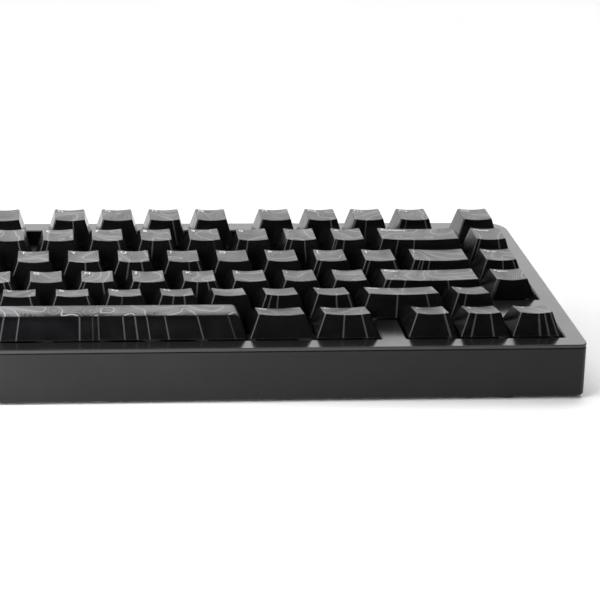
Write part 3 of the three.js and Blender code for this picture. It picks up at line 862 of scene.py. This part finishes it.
# ---- Operators ----
class KEYBOARD_OT_stage(bpy.types.Operator):
    """Add the pale floor, the soft lights, the surroundings and the camera"""

    bl_idname = "keyboard.add_stage"
    bl_label = "Stage"

    def execute(self, context):
        stage = settings().stage
        mesh = bmesh.new()
        bmesh.ops.create_circle(mesh, cap_ends=True, segments=96, radius=stage.floor_radius)
        data = bpy.data.meshes.new("floor")
        mesh.to_mesh(data)
        mesh.free()
        data.materials.append(floor_finish())
        linked("floor", data)
        self.surroundings(context)
        self.softbox("overhead_softbox", place=(0, 0.5, 2.2), target=(0, 0.3, 0), size=(3.0, 2.4),
                     power=38.0)
        fill_lamp = self.softbox("left_softbox", place=(-0.19, -0.22, 0.13), target=(0, -0.06, 0.02),
                                 size=(0.3, 0.2), power=2.2)
        fill_lamp.visible_glossy = False
        self.camera(context, stage)
        return {"FINISHED"}

    def surroundings(self, context):
        """A studio that is bright behind and to the left, and falls off to the front right."""
        context.scene.view_settings.view_transform = "Standard"
        world = bpy.data.worlds.new("Studio")
        context.scene.world = world
        world.use_nodes = True
        tree = world.node_tree
        way = add(tree, "ShaderNodeTexCoord").outputs["Generated"]
        bright_side = Vector((-0.3, 0.95, 0.0)).normalized()
        facing = add(tree, "ShaderNodeVectorMath", {0: way, 1: bright_side}, operation="DOT_PRODUCT")
        behind = add(tree, "ShaderNodeMapRange", {
            "Value": facing, "From Min": 0.05, "From Max": 0.7, "To Min": 0.005, "To Max": 1.0,
        })
        upward = add(tree, "ShaderNodeSeparateXYZ", {"Vector": way}).outputs["Z"]
        high = add(tree, "ShaderNodeMapRange", {
            "Value": upward, "From Min": 0.1, "From Max": 0.5, "To Min": 0.92, "To Max": 2.3,
        })
        glow = add(tree, "ShaderNodeMath", {0: behind, 1: high}, operation="MULTIPLY")
        # The dark side only serves the reflections. Seen directly, the room is pale all round.
        seen = add(tree, "ShaderNodeLightPath").outputs["Is Camera Ray"]
        strength = add(tree, "ShaderNodeMath", {0: glow, 1: seen}, operation="MAXIMUM")
        fill(tree, tree.nodes["Background"], {"Strength": strength, "Color": (1, 1, 1, 1)})

    def softbox(self, name, place, target, size, power):
        light = bpy.data.lights.new(name, "AREA")
        light.shape = "RECTANGLE"
        light.size, light.size_y = size
        light.energy = power
        lamp = linked(name, light)
        lamp.location = place
        aim = Vector(target) - Vector(place)
        lamp.rotation_euler = aim.to_track_quat("-Z", "Y").to_euler()
        lamp.visible_camera = False
        return lamp

    def camera(self, context, stage):
        view = bpy.data.cameras.new("camera")
        view.sensor_width = 36
        view.lens = stage.lens
        view.shift_x = stage.shift
        view.clip_start, view.clip_end = 0.01, 50
        forward = Vector((math.sin(stage.yaw) * math.cos(stage.pitch),
                          math.cos(stage.yaw) * math.cos(stage.pitch), -math.sin(stage.pitch)))
        level = Vector((math.cos(stage.yaw), -math.sin(stage.yaw), 0))
        upright = level.cross(forward)
        right = level * math.cos(stage.roll) + upright * math.sin(stage.roll)
        up = upright * math.cos(stage.roll) - level * math.sin(stage.roll)
        axes = Matrix((right, up, -forward)).transposed()
        camera = linked("camera", view)
        camera.matrix_world = Matrix.Translation(stage.camera_place) @ axes.to_4x4()
        context.scene.camera = camera


class KEYBOARD_OT_top_case(bpy.types.Operator):
    """Add the top shell with its rounded bezel and the opening for the keys"""

    bl_idname = "keyboard.add_top_case"
    bl_label = "Top Case"

    def execute(self, context):
        case = settings().case
        outer = [deck_ring(inset, -drop) for inset, drop in reversed(fillet(case.edge, 5))]
        outer.append(deck_ring(0, -case.skin))
        lip = case.lip
        inner = [opening_ring(lip - inset, drop - lip) for inset, drop in fillet(lip, 3)]
        foot = case.seam - case.plate_depth
        inner.append(opening_ring(0, foot))
        inner.append(opening_ring(case.opening_wall, foot))
        inner.append(opening_ring(case.opening_wall, -case.skin))
        mesh = bmesh.new()
        sides = [walls(mesh, rings) for rings in (outer, inner)]
        for end in (0, -1):
            edges = [edge for side in sides for edge in self.edges_of(side[end])]
            bmesh.ops.triangle_fill(mesh, use_beauty=True, use_dissolve=False, edges=edges)
        ready(piece_from(mesh, "top_shell", math.radians(40)), "base", bezel_finish(),
              "top_bezel", "top_case")
        return {"FINISHED"}

    def edges_of(self, verts):
        pairs = zip(verts, verts[1:] + verts[:1])
        return [next(edge for edge in a.link_edges if edge.other_vert(a) is b) for a, b in pairs]


# ---- Sizes of what the bottom shell is cut for ----
FOOT_NODES = ["front_left_foot", "front_right_foot", "back_left_foot", "back_right_foot"]
PIN_LENGTH = 1.8 * MM
PIN_RADIUS = 1.3 * MM
POCKET_WALL = 2.4 * MM
CUT_PAST = 1 * MM
SLOT_MARGIN = 0.35 * MM
SLOT_BEHIND = 2 * MM
SLOT_BEFORE = 3 * MM
MERGE_DISTANCE = 0.001 * MM


class TiltFoot:
    """One tilt foot's place: its box, its leaf between the pins and its hinge's axis."""

    def __init__(self, side):
        self.node = f"{side}_tilt_foot"
        self.low, self.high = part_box(self.node)
        self.left = self.low.x + PIN_LENGTH
        self.right = self.high.x - PIN_LENGTH
        _, self.axis_y, self.axis_z = joint_named(f"{side}_tilt_foot_hinge")["pos_m"]

    def cylinder(self, name, radius, left, right, count):
        """A cylinder round the hinge's axis."""
        return prism(name, [[(x, self.axis_y + a, self.axis_z + b) for a, b in circle(radius, count)]
                            for x in (left, right)])


TILT_FEET = [TiltFoot(side) for side in ("left", "right")]


class SocketPlace:
    """The socket's shell, measured on the deck from its node."""

    def __init__(self):
        flat = DECK.inverted()
        corners = [flat @ vertex.co for vertex in frame["nodes"]["usb_c_socket"].data.vertices]
        low = Vector([min(point[i] for point in corners) for i in range(3)])
        high = Vector([max(point[i] for point in corners) for i in range(3)])
        self.x = (low.x + high.x) / 2
        self.z = (low.z + high.z) / 2
        self.mouth = high.y
        self.width = high.x - low.x
        self.height = high.z - low.z
        self.length = high.y - low.y


SOCKET = SocketPlace()


def socket_ring(grow, y, turns=10):
    """The socket's outline grown by a margin, y behind or before its mouth."""
    radius = SOCKET.height / 2 + grow
    reach = SOCKET.width / 2 + grow - radius
    ring = []
    for side, start in ((1, 0), (-1, math.pi)):
        for i in range(turns + 1):
            angle = math.pi * (i / turns - 0.5) + start
            ring.append((SOCKET.x + side * reach + radius * math.cos(angle), SOCKET.mouth + y,
                         SOCKET.z + radius * math.sin(angle)))
    return ring


class KEYBOARD_OT_bottom_case(bpy.types.Operator):
    """Add the bottom shell with its ledge, socket slot, foot recesses and tilt-foot pockets"""

    bl_idname = "keyboard.add_bottom_case"
    bl_label = "Bottom Case"

    def execute(self, context):
        case = settings().case
        underside = CASE_LOW.z
        seam = case.skin + case.seam
        ledge = case.plate_depth + case.plate + case.seam
        rings = [table_ring(inset, lambda y: underside + drop)
                 for inset, drop in reversed(fillet(case.bottom_edge, 5))]
        rings += [table_ring(inset, under_deck(seam + drop)) for inset, drop in fillet(case.rim, 3)]
        rings.append(deck_ring(case.wall, -seam))
        rings.append(deck_ring(case.wall, -ledge))
        inner = deck_ring(case.wall + case.ledge, -ledge)
        rings.append(inner)
        floor = underside + case.floor
        down = DECK.to_3x3() @ Vector((0, 0, -1))
        rings.append([point + down * ((floor - point.z) / down.z) for point in inner])
        shell = prism("bottom_shell", rings)
        self.open_up(shell, underside, case.seam)
        mesh = taken(shell)
        bmesh.ops.remove_doubles(mesh, verts=mesh.verts, dist=MERGE_DISTANCE)
        ready(piece_from(mesh, "bottom_shell"), "base", shell_finish(), "case_shell", "bottom_case")
        return {"FINISHED"}

    def open_up(self, shell, underside, fit):
        """Adds the pocket walls and cuts the pockets, the foot recesses and the socket's slot."""
        for foot in TILT_FEET:
            left, right = foot.left - fit, foot.right + fit
            front, back = foot.low.y - fit, foot.high.y + 2 * fit
            top = foot.high.z + fit
            walled = block("walls", (left - POCKET_WALL, front - POCKET_WALL, underside),
                           (right + POCKET_WALL, back + POCKET_WALL, top + POCKET_WALL))
            combined(shell, walled, "UNION")
            pocket = block("pocket", (left, front, underside - CUT_PAST), (right, back, top))
            combined(shell, pocket, "DIFFERENCE")
            pin_holes = foot.cylinder("pin_holes", PIN_RADIUS + fit, foot.low.x - fit,
                                      foot.high.x + fit, 16)
            combined(shell, pin_holes, "DIFFERENCE")
        for name in FOOT_NODES:
            low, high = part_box(name)
            centre = (low + high) / 2
            round_edge = circle((high.x - low.x) / 2 + fit, 48)
            recess = prism("recess", [[(centre.x + x, centre.y + y, z) for x, y in round_edge]
                                      for z in (underside - CUT_PAST, high.z + fit)])
            combined(shell, recess, "DIFFERENCE")
        slot = prism("slot", [socket_ring(SLOT_MARGIN, -SOCKET.length - SLOT_BEHIND),
                              socket_ring(SLOT_MARGIN, SLOT_BEFORE)], DECK)
        combined(shell, slot, "DIFFERENCE")


SKIRT_EDGE = 0.18 * MM  # radius of the skirt's lower edge
SPACE_RIM = 4.5  # how much rounder the space bar's top edge is
WIDE_CAP = 2  # caps of this width or more get more faces across
FACES_ACROSS, FACES_ACROSS_WIDE, FACES_ALONG = 10, 18, 4


class KEYBOARD_OT_keycaps(bpy.types.Operator):
    """Add every keycap, hollow, dished and filleted, with the chart for its print"""

    bl_idname = "keyboard.add_keycaps"
    bl_label = "Keycaps"

    def execute(self, context):
        finish = keycap_finish()
        for name, caps in key_nodes():
            mesh = bmesh.new()
            for chart in ("film", "way"):
                mesh.verts.layers.float_vector.new(chart)
            for cap in caps:
                self.add_cap(mesh, cap)
            ready(piece_from(mesh, name.replace("key_", "keycap_"), math.radians(50)), name,
                  finish, "keycap", name)
        return {"FINISHED"}

    def add_cap(self, mesh, cap):
        """Builds the cap from its ceiling down the inside of the skirt, up the outside and over the
        top. film is where a point takes its print. way is the direction that its wall faces, with 1
        as its third number, and is zero on the top. The hollow counts as a wall that faces back."""
        sizes = settings().cap
        rim = sizes.rim * (SPACE_RIM if cap.is_space else 1)
        across = FACES_ACROSS_WIDE if cap.width >= WIDE_CAP else FACES_ACROSS
        tallest = max(cap.front, cap.back)
        middle = (cap.middle[0], sum(cap.rectangle(1)[2:]) / 2)

        def ring(share, inset, radius=sizes.corner):
            box = cap.rectangle(share, inset)
            return [(p.x, p.y, cap.height(p.x, p.y, share) * share)
                    for p, _ in outline(*box, (radius, radius), across, FACES_ALONG)]

        top_edge = outline(*cap.rectangle(1), (sizes.corner, sizes.corner), across, FACES_ALONG)
        drawn_down = [(*point, 0) for point, _ in top_edge]
        outward = [(*way, 1) for _, way in top_edge]
        hidden = [(0, 1, 1)] * len(top_edge)
        on_top = [(0, 0, 0)] * len(top_edge)

        ceiling = 1 - (sizes.top_wall + sizes.dish) / tallest
        ceiling_ring = ring(ceiling, sizes.wall)
        roof = sum(point[2] for point in ceiling_ring) / len(ceiling_ring)
        levels = [([(*middle, roof)], [(*middle, 0)], [(0, 1, 1)])]
        # The hollow rounds into its ceiling in three steps.
        for share, inset in ((ceiling, sizes.wall * 1.6), (ceiling * 0.985, sizes.wall * 1.1),
                             (ceiling * 0.93, sizes.wall), (SKIRT_EDGE / tallest, sizes.wall),
                             (0, sizes.wall - SKIRT_EDGE)):
            levels.append((ring(share, inset), drawn_down, hidden))
        for inset, drop in reversed(fillet(SKIRT_EDGE, 2)):
            levels.append((ring(drop / tallest, inset), drawn_down, outward))
        for share in (0.08, 0.5, 0.92):
            levels.append((ring(share * (1 - rim / tallest), 0), drawn_down, outward))
        for step, (inset, drop) in enumerate(fillet(rim, 5)):
            edge = ring(1 - drop / tallest, inset, max(sizes.corner - inset * 0.5, 0.2 * MM))
            if step > 2:
                levels.append((edge, [(x, y, 0) for x, y, _ in edge], on_top))
            else:
                levels.append((edge, drawn_down, outward))
        # Rings of the top from its edge to its middle.
        for scale in (0.97, 0.85, 0.65, 0.4, 0.16):
            flat = [(middle[0] + (x - middle[0]) * scale, middle[1] + (y - middle[1]) * scale)
                    for x, y, _ in edge]
            levels.append(([(x, y, cap.height(x, y)) for x, y in flat],
                           [(x, y, 0) for x, y in flat], on_top))
        levels.append(([(*middle, cap.height(*middle))], [(*middle, 0)], [(0, 0, 0)]))
        rings, film, way = zip(*levels)
        loft(mesh, rings, DECK, film=film, way=way)


WORD_SCALE = 0.72  # size of a word beside that of a single letter
CAPITAL_HEIGHT = 0.72  # of a letter, beside its size
LEGEND_INSET = 1.1 * MM  # from the top's corner
LEGEND_HALF_THICKNESS = 0.015 * MM
LEGEND_PROUD = 0.035 * MM
LEGEND_MERGE = 0.0001 * MM


class KEYBOARD_OT_legends(bpy.types.Operator):
    """Add the plain letters, figures and arrows printed on the caps"""

    bl_idname = "keyboard.add_legends"
    bl_label = "Legends"

    def execute(self, context):
        finish = legend_finish()
        for name, caps in key_nodes():
            mesh = bmesh.new()
            for cap in caps:
                if cap.legend:
                    self.add_text(mesh, cap)
            if not mesh.verts:
                mesh.free()
                continue
            ready(piece_from(mesh, name.replace("key_", "legend_")), name, finish, "keycap")
        return {"FINISHED"}

    def add_text(self, mesh, cap):
        size = settings().cap.legend * (1 if len(cap.legend) == 1 else WORD_SCALE)
        curve = bpy.data.curves.new("text", "FONT")
        curve.body = cap.legend
        curve.size = size
        curve.extrude = LEGEND_HALF_THICKNESS
        curve.resolution_u = 3
        holder = linked("text", curve)
        graph = bpy.context.evaluated_depsgraph_get()
        graph.update()
        data = bpy.data.meshes.new_from_object(holder.evaluated_get(graph), depsgraph=graph)
        left, _, _, back = cap.rectangle(1, LEGEND_INSET)
        for vertex in data.vertices:
            x = left + vertex.co.x
            y = back - size * CAPITAL_HEIGHT + vertex.co.y
            z = cap.height(x, y) + vertex.co.z + LEGEND_PROUD
            vertex.co = DECK @ Vector((x, y, z))
        mesh.from_mesh(data)
        bmesh.ops.remove_doubles(mesh, verts=mesh.verts, dist=LEGEND_MERGE)
        bpy.data.objects.remove(holder)
        bpy.data.curves.remove(curve)
        bpy.data.meshes.remove(data)


STEM = (6.4 * MM, 6.4 * MM)
POST = (3.4 * MM, 6.4 * MM)
HOUSING_RISE = 6 * MM  # of a housing above the plate
HOUSING_UNDERSIDE = -10.8 * MM  # under the deck
WELL_FLOOR = 1 * MM  # thickness under the stem's well
SLIDE = 0.35 * MM  # clearance round a stem


class KEYBOARD_OT_switches(bpy.types.Operator):
    """Add the switch housings, the guides under wide keys and the stems that carry the caps"""

    bl_idname = "keyboard.add_switches"
    bl_label = "Switches"

    def execute(self, context):
        black = nylon_finish("Black nylon", "#17181a", "#1f2023", 0.38)
        grey = nylon_finish("Grey acetal", "#4a4b4e", "#57585b", 0.3)
        switch = self.housing("switch_prototype", base=(15 * MM, 15 * MM), top=(11 * MM, 11 * MM),
                              neck=(13.8 * MM, 13.8 * MM), well=STEM)
        guide = self.housing("guide_prototype", base=(7.4 * MM, 14 * MM), top=(6 * MM, 11 * MM),
                             neck=(6.8 * MM, 12.8 * MM), well=POST)
        stem = self.stem("stem_prototype", STEM)
        post = self.stem("post_prototype", POST)
        switches, guides = [], []
        for name, caps in key_nodes():
            own_switches = [point for cap in caps for point in cap.stems()[0]]
            own_guides = [point for cap in caps for point in cap.stems()[1]]
            switches += own_switches
            guides += own_guides
            for points, prototype, word in ((own_switches, stem, "stem"), (own_guides, post, "post")):
                if points:
                    piece = repeated(name.replace("key_", word + "_"), self.placed(points),
                                     prototype, grey)
                    ready(piece, name, grey, "switch_housing")
        housings = repeated("switch_housing_bank", self.placed(switches), switch, black)
        ready(housings, "base", black, "switch_housing", "switch_housings")
        guide_bank = repeated("guide_housing_bank", self.placed(guides), guide, black)
        ready(guide_bank, "base", black, "switch_housing")
        for prototype in (switch, guide, stem, post):
            bpy.data.objects.remove(prototype)
        return {"FINISHED"}

    def placed(self, points):
        return [DECK @ Vector((*point, 0)) for point in points]

    def stepped(self, name, levels, corner):
        """A solid round the origin that leans with the deck. Each level is a size across and along,
        a height over the deck, and how far it stands out from that size all round."""
        rings = []
        for (width, depth), z, grow in levels:
            x, y = width / 2 + grow, depth / 2 + grow
            rings.append([(p.x, p.y, z)
                          for p, _ in outline(-x, x, -y, y, (corner, corner), turns=2)])
        return prism(name, rings, DECK.to_3x3().to_4x4())

    def housing(self, name, base, top, neck, well):
        """A housing with a collar on the plate, a tapered top and an open well for its stem."""
        case = settings().case
        seat = case.seam - case.plate_depth
        crest = HOUSING_RISE - case.plate_depth
        return self.stepped(name, [
            (neck, HOUSING_UNDERSIDE, 0),
            (neck, seat, 0),
            (base, seat, 0),
            (base, seat + 0.9 * MM, 0),
            (base, seat + 1.1 * MM, -0.2 * MM),
            (top, crest - 0.5 * MM, 0.15 * MM),
            (top, crest, -0.35 * MM),
            (well, crest, SLIDE + 0.3 * MM),
            (well, crest - 0.3 * MM, SLIDE),
            (well, HOUSING_UNDERSIDE + WELL_FLOOR, SLIDE),
        ], 0.6 * MM)

    def stem(self, name, size):
        """The sliding stem: a block in the housing under a narrower post that grips the cap."""
        return self.stepped(name, [
            (size, -3.1 * MM, 0),
            (size, 0.9 * MM, 0),
            (size, 1.2 * MM, -1.1 * MM),
            (size, 3.2 * MM, -1.1 * MM),
        ], 0.3 * MM)


class KEYBOARD_OT_feet(bpy.types.Operator):
    """Add the four round rubber feet with their grooved soles"""

    bl_idname = "keyboard.add_feet"
    bl_label = "Rubber Feet"

    def execute(self, context):
        finish = rubber_finish()
        for name in FOOT_NODES:
            low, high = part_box(name)
            centre = (low + high) / 2
            mesh = bmesh.new()
            rings = [[(centre.x + x, centre.y + y, z) for x, y in circle(radius, 48 if radius else 1)]
                     for radius, z in self.profile((high.x - low.x) / 2, low.z, high.z)]
            loft(mesh, rings, TABLE_FRAME)
            ready(piece_from(mesh, name + "_pad"), "base", finish, "foot_rubber", name)
        return {"FINISHED"}

    def profile(self, radius, low, high, groove=0.3 * MM):
        """Radius and height of each ring from the middle of the top to the middle of the sole."""
        points = [(0.0, high), (radius - 0.1 * MM, high), (radius, high - 0.1 * MM),
                  (radius, low + 0.5 * MM)]
        points += [(radius - inset, low + drop) for inset, drop in fillet(0.4 * MM, 3)]
        for share in (0.78, 0.56, 0.34):
            middle = radius * share
            points += [(middle + 0.35 * MM, low), (middle + 0.2 * MM, low + groove),
                       (middle - 0.2 * MM, low + groove), (middle - 0.35 * MM, low)]
        return points + [(0.0, low)]


LEAF_THICKNESS = 3 * MM
LEAF_CORNER = 0.3 * MM
LEAST_LEAF_CORNER = 0.05 * MM
TIP_LENGTH = 5 * MM
TIP_GAP = 0.15 * MM
TIP_CORNER = 2.5 * MM
RIB_COUNT, RIB_PITCH, FIRST_RIB = 5, 1.6 * MM, 3 * MM
RIB_HALF_LENGTH, RIB_HALF_WIDTH, RIB_CORNER = 9 * MM, 0.35 * MM, 0.2 * MM
RIB_UNDER, RIB_OVER = -0.12 * MM, 0.2 * MM  # its faces, from the leaf's underside


class KEYBOARD_OT_tilt_feet(bpy.types.Operator):
    """Add the two folding tilt feet with their hinge knuckles, grips and rubber tips"""

    bl_idname = "keyboard.add_tilt_feet"
    bl_label = "Tilt Feet"

    def execute(self, context):
        shell, rubber = nylon_finish("Charcoal nylon", "#2a2a2b", "#343435", 0.45), rubber_finish()
        for foot in TILT_FEET:
            low, high, name = foot.low, foot.high, foot.node
            top = low.z + LEAF_THICKNESS
            leg_front = low.y + TIP_LENGTH
            leg = self.leaf(foot.left, foot.right, leg_front, foot.axis_y, low.z, top)
            knuckle = foot.cylinder("knuckle", high.y - foot.axis_y, foot.left, foot.right, 32)
            combined(leg, knuckle, "UNION")
            combined(leg, foot.cylinder("pins", PIN_RADIUS, low.x, high.x, 32), "UNION")
            ready(piece_from(taken(leg), name + "_leg"), name, shell, "case_shell", name)
            tip = self.leaf(foot.left, foot.right, low.y, leg_front - TIP_GAP, low.z, top, TIP_CORNER)
            ready(piece_from(taken(tip), name + "_tip"), name, rubber, "foot_rubber")
            rib = self.leaf(-RIB_HALF_LENGTH, RIB_HALF_LENGTH, -RIB_HALF_WIDTH, RIB_HALF_WIDTH,
                            RIB_UNDER, RIB_OVER, RIB_CORNER)
            middle = (foot.left + foot.right) / 2
            rows = [Vector((middle, leg_front + FIRST_RIB + RIB_PITCH * i, low.z))
                    for i in range(RIB_COUNT)]
            ready(repeated(name + "_grip", rows, rib, shell), name, shell, "case_shell")
            bpy.data.objects.remove(rib)
        return {"FINISHED"}

    def leaf(self, left, right, front, back, low, high, corner=LEAF_CORNER):
        """A flat leaf with softened edges. A corner rounder than usual is only at its front."""
        soft = min(0.3 * MM, (high - low) / 3)
        rings = []
        for inset, z in ((soft, low), (0, low + soft), (0, high - soft), (soft, high)):
            front_corner = max(corner - inset, LEAST_LEAF_CORNER)
            back_corner = LEAF_CORNER if corner > LEAF_CORNER else front_corner
            points = outline(left + inset, right - inset, front + inset, back - inset,
                             (front_corner, back_corner), turns=4)
            rings.append([(p.x, p.y, z) for p, _ in points])
        return prism("leaf", rings)


SOCKET_WALL = 0.35 * MM
SOCKET_LIP = 0.12 * MM
SOCKET_CLOSED_END = 1 * MM
TONGUE_HALF_WIDTH, TONGUE_HALF_THICKNESS = 3.35 * MM, 0.35 * MM
TONGUE_BEHIND = 1 * MM  # from the socket's mouth
CONTACT_COUNT, CONTACT_PITCH, CONTACT_BEHIND = 12, 0.5 * MM, 0.4 * MM
CONTACT_LOW = (-0.13 * MM, -4.2 * MM, -0.02 * MM)
CONTACT_HIGH = (0.13 * MM, 0, 0.03 * MM)


class KEYBOARD_OT_socket(bpy.types.Operator):
    """Add the USB socket's drawn shell, its tongue and its contacts"""

    bl_idname = "keyboard.add_socket"
    bl_label = "USB Socket"

    def execute(self, context):
        steel = steel_finish()
        inside = SOCKET_CLOSED_END - SOCKET.length
        rings = [socket_ring(grow, y) for grow, y in (
            (0, -SOCKET.length), (0, -SOCKET_LIP), (-SOCKET_LIP, 0), (SOCKET_LIP - SOCKET_WALL, 0),
            (-SOCKET_WALL, -SOCKET_LIP), (-SOCKET_WALL, inside))]
        shell = taken(prism("socket_shell", rings, DECK))
        ready(piece_from(shell, "usb_socket_shell"), "base", steel, "socket_metal", "usb_c_socket")
        half, thick = TONGUE_HALF_WIDTH, TONGUE_HALF_THICKNESS
        low = (SOCKET.x - half, SOCKET.mouth - SOCKET.length + SOCKET_CLOSED_END * 0.5,
               SOCKET.z - thick)
        high = (SOCKET.x + half, SOCKET.mouth - TONGUE_BEHIND, SOCKET.z + thick)
        tongue = taken(block("usb_socket_tongue", low, high, DECK))
        black = nylon_finish("Glass-filled polymer", "#0f0f10", "#161617", 0.4)
        ready(piece_from(tongue, "usb_socket_tongue"), "base", black, "socket_metal")
        contact = block("contact", CONTACT_LOW, CONTACT_HIGH, DECK.to_3x3().to_4x4())
        first = SOCKET.x - (CONTACT_COUNT - 1) / 2 * CONTACT_PITCH
        points = [DECK @ Vector((first + i * CONTACT_PITCH, high[1] - CONTACT_BEHIND, high[2]))
                  for i in range(CONTACT_COUNT)]
        contacts = repeated("usb_socket_contacts", points, contact, steel)
        ready(contacts, "base", steel, "socket_metal")
        bpy.data.objects.remove(contact)
        return {"FINISHED"}


class KEYBOARD_OT_inner_parts(bpy.types.Operator):
    """Finish the plate, board, foam and battery that lie inside the shells"""

    bl_idname = "keyboard.finish_inner_parts"
    bl_label = "Inner Parts"

    def execute(self, context):
        finishes = {
            "switch_plate": plate_finish(),
            "circuit_board": board_finish(),
            "case_foam": foam_finish(),
            "battery": battery_finish(),
        }
        for name, finish in finishes.items():
            node = frame["nodes"][name]
            if not node.material_slots:
                node.data.materials.append(finish)
            for holder in node.material_slots:
                holder.material = finish
        return {"FINISHED"}


OPERATORS = (
    KEYBOARD_OT_stage,
    KEYBOARD_OT_bottom_case,
    KEYBOARD_OT_top_case,
    KEYBOARD_OT_inner_parts,
    KEYBOARD_OT_switches,
    KEYBOARD_OT_keycaps,
    KEYBOARD_OT_legends,
    KEYBOARD_OT_feet,
    KEYBOARD_OT_tilt_feet,
    KEYBOARD_OT_socket,
)


class KEYBOARD_PT_panel(bpy.types.Panel):
    """The pieces of the keyboard"""

    bl_label = "Keyboard"
    bl_idname = "KEYBOARD_PT_panel"
    bl_space_type = "VIEW_3D"
    bl_region_type = "UI"
    bl_category = "Keyboard"

    def draw(self, context):
        for operator in OPERATORS:
            self.layout.operator(operator.bl_idname)


CLASSES = (
    KeyFieldSizes, KeycapSizes, CaseSizes, FinishColours, StageSizes, KeyboardSettings,
    *OPERATORS, KEYBOARD_PT_panel,
)


def register():
    for made in CLASSES:
        bpy.utils.register_class(made)
    bpy.types.Scene.keyboard = PointerProperty(type=KeyboardSettings)


def unregister():
    del bpy.types.Scene.keyboard
    for made in reversed(CLASSES):
        bpy.utils.unregister_class(made)


def main():
    register()
    for operator in OPERATORS:
        group, name = operator.bl_idname.split(".")
        getattr(getattr(bpy.ops, group), name)()


if __name__ == "__main__":
    main()
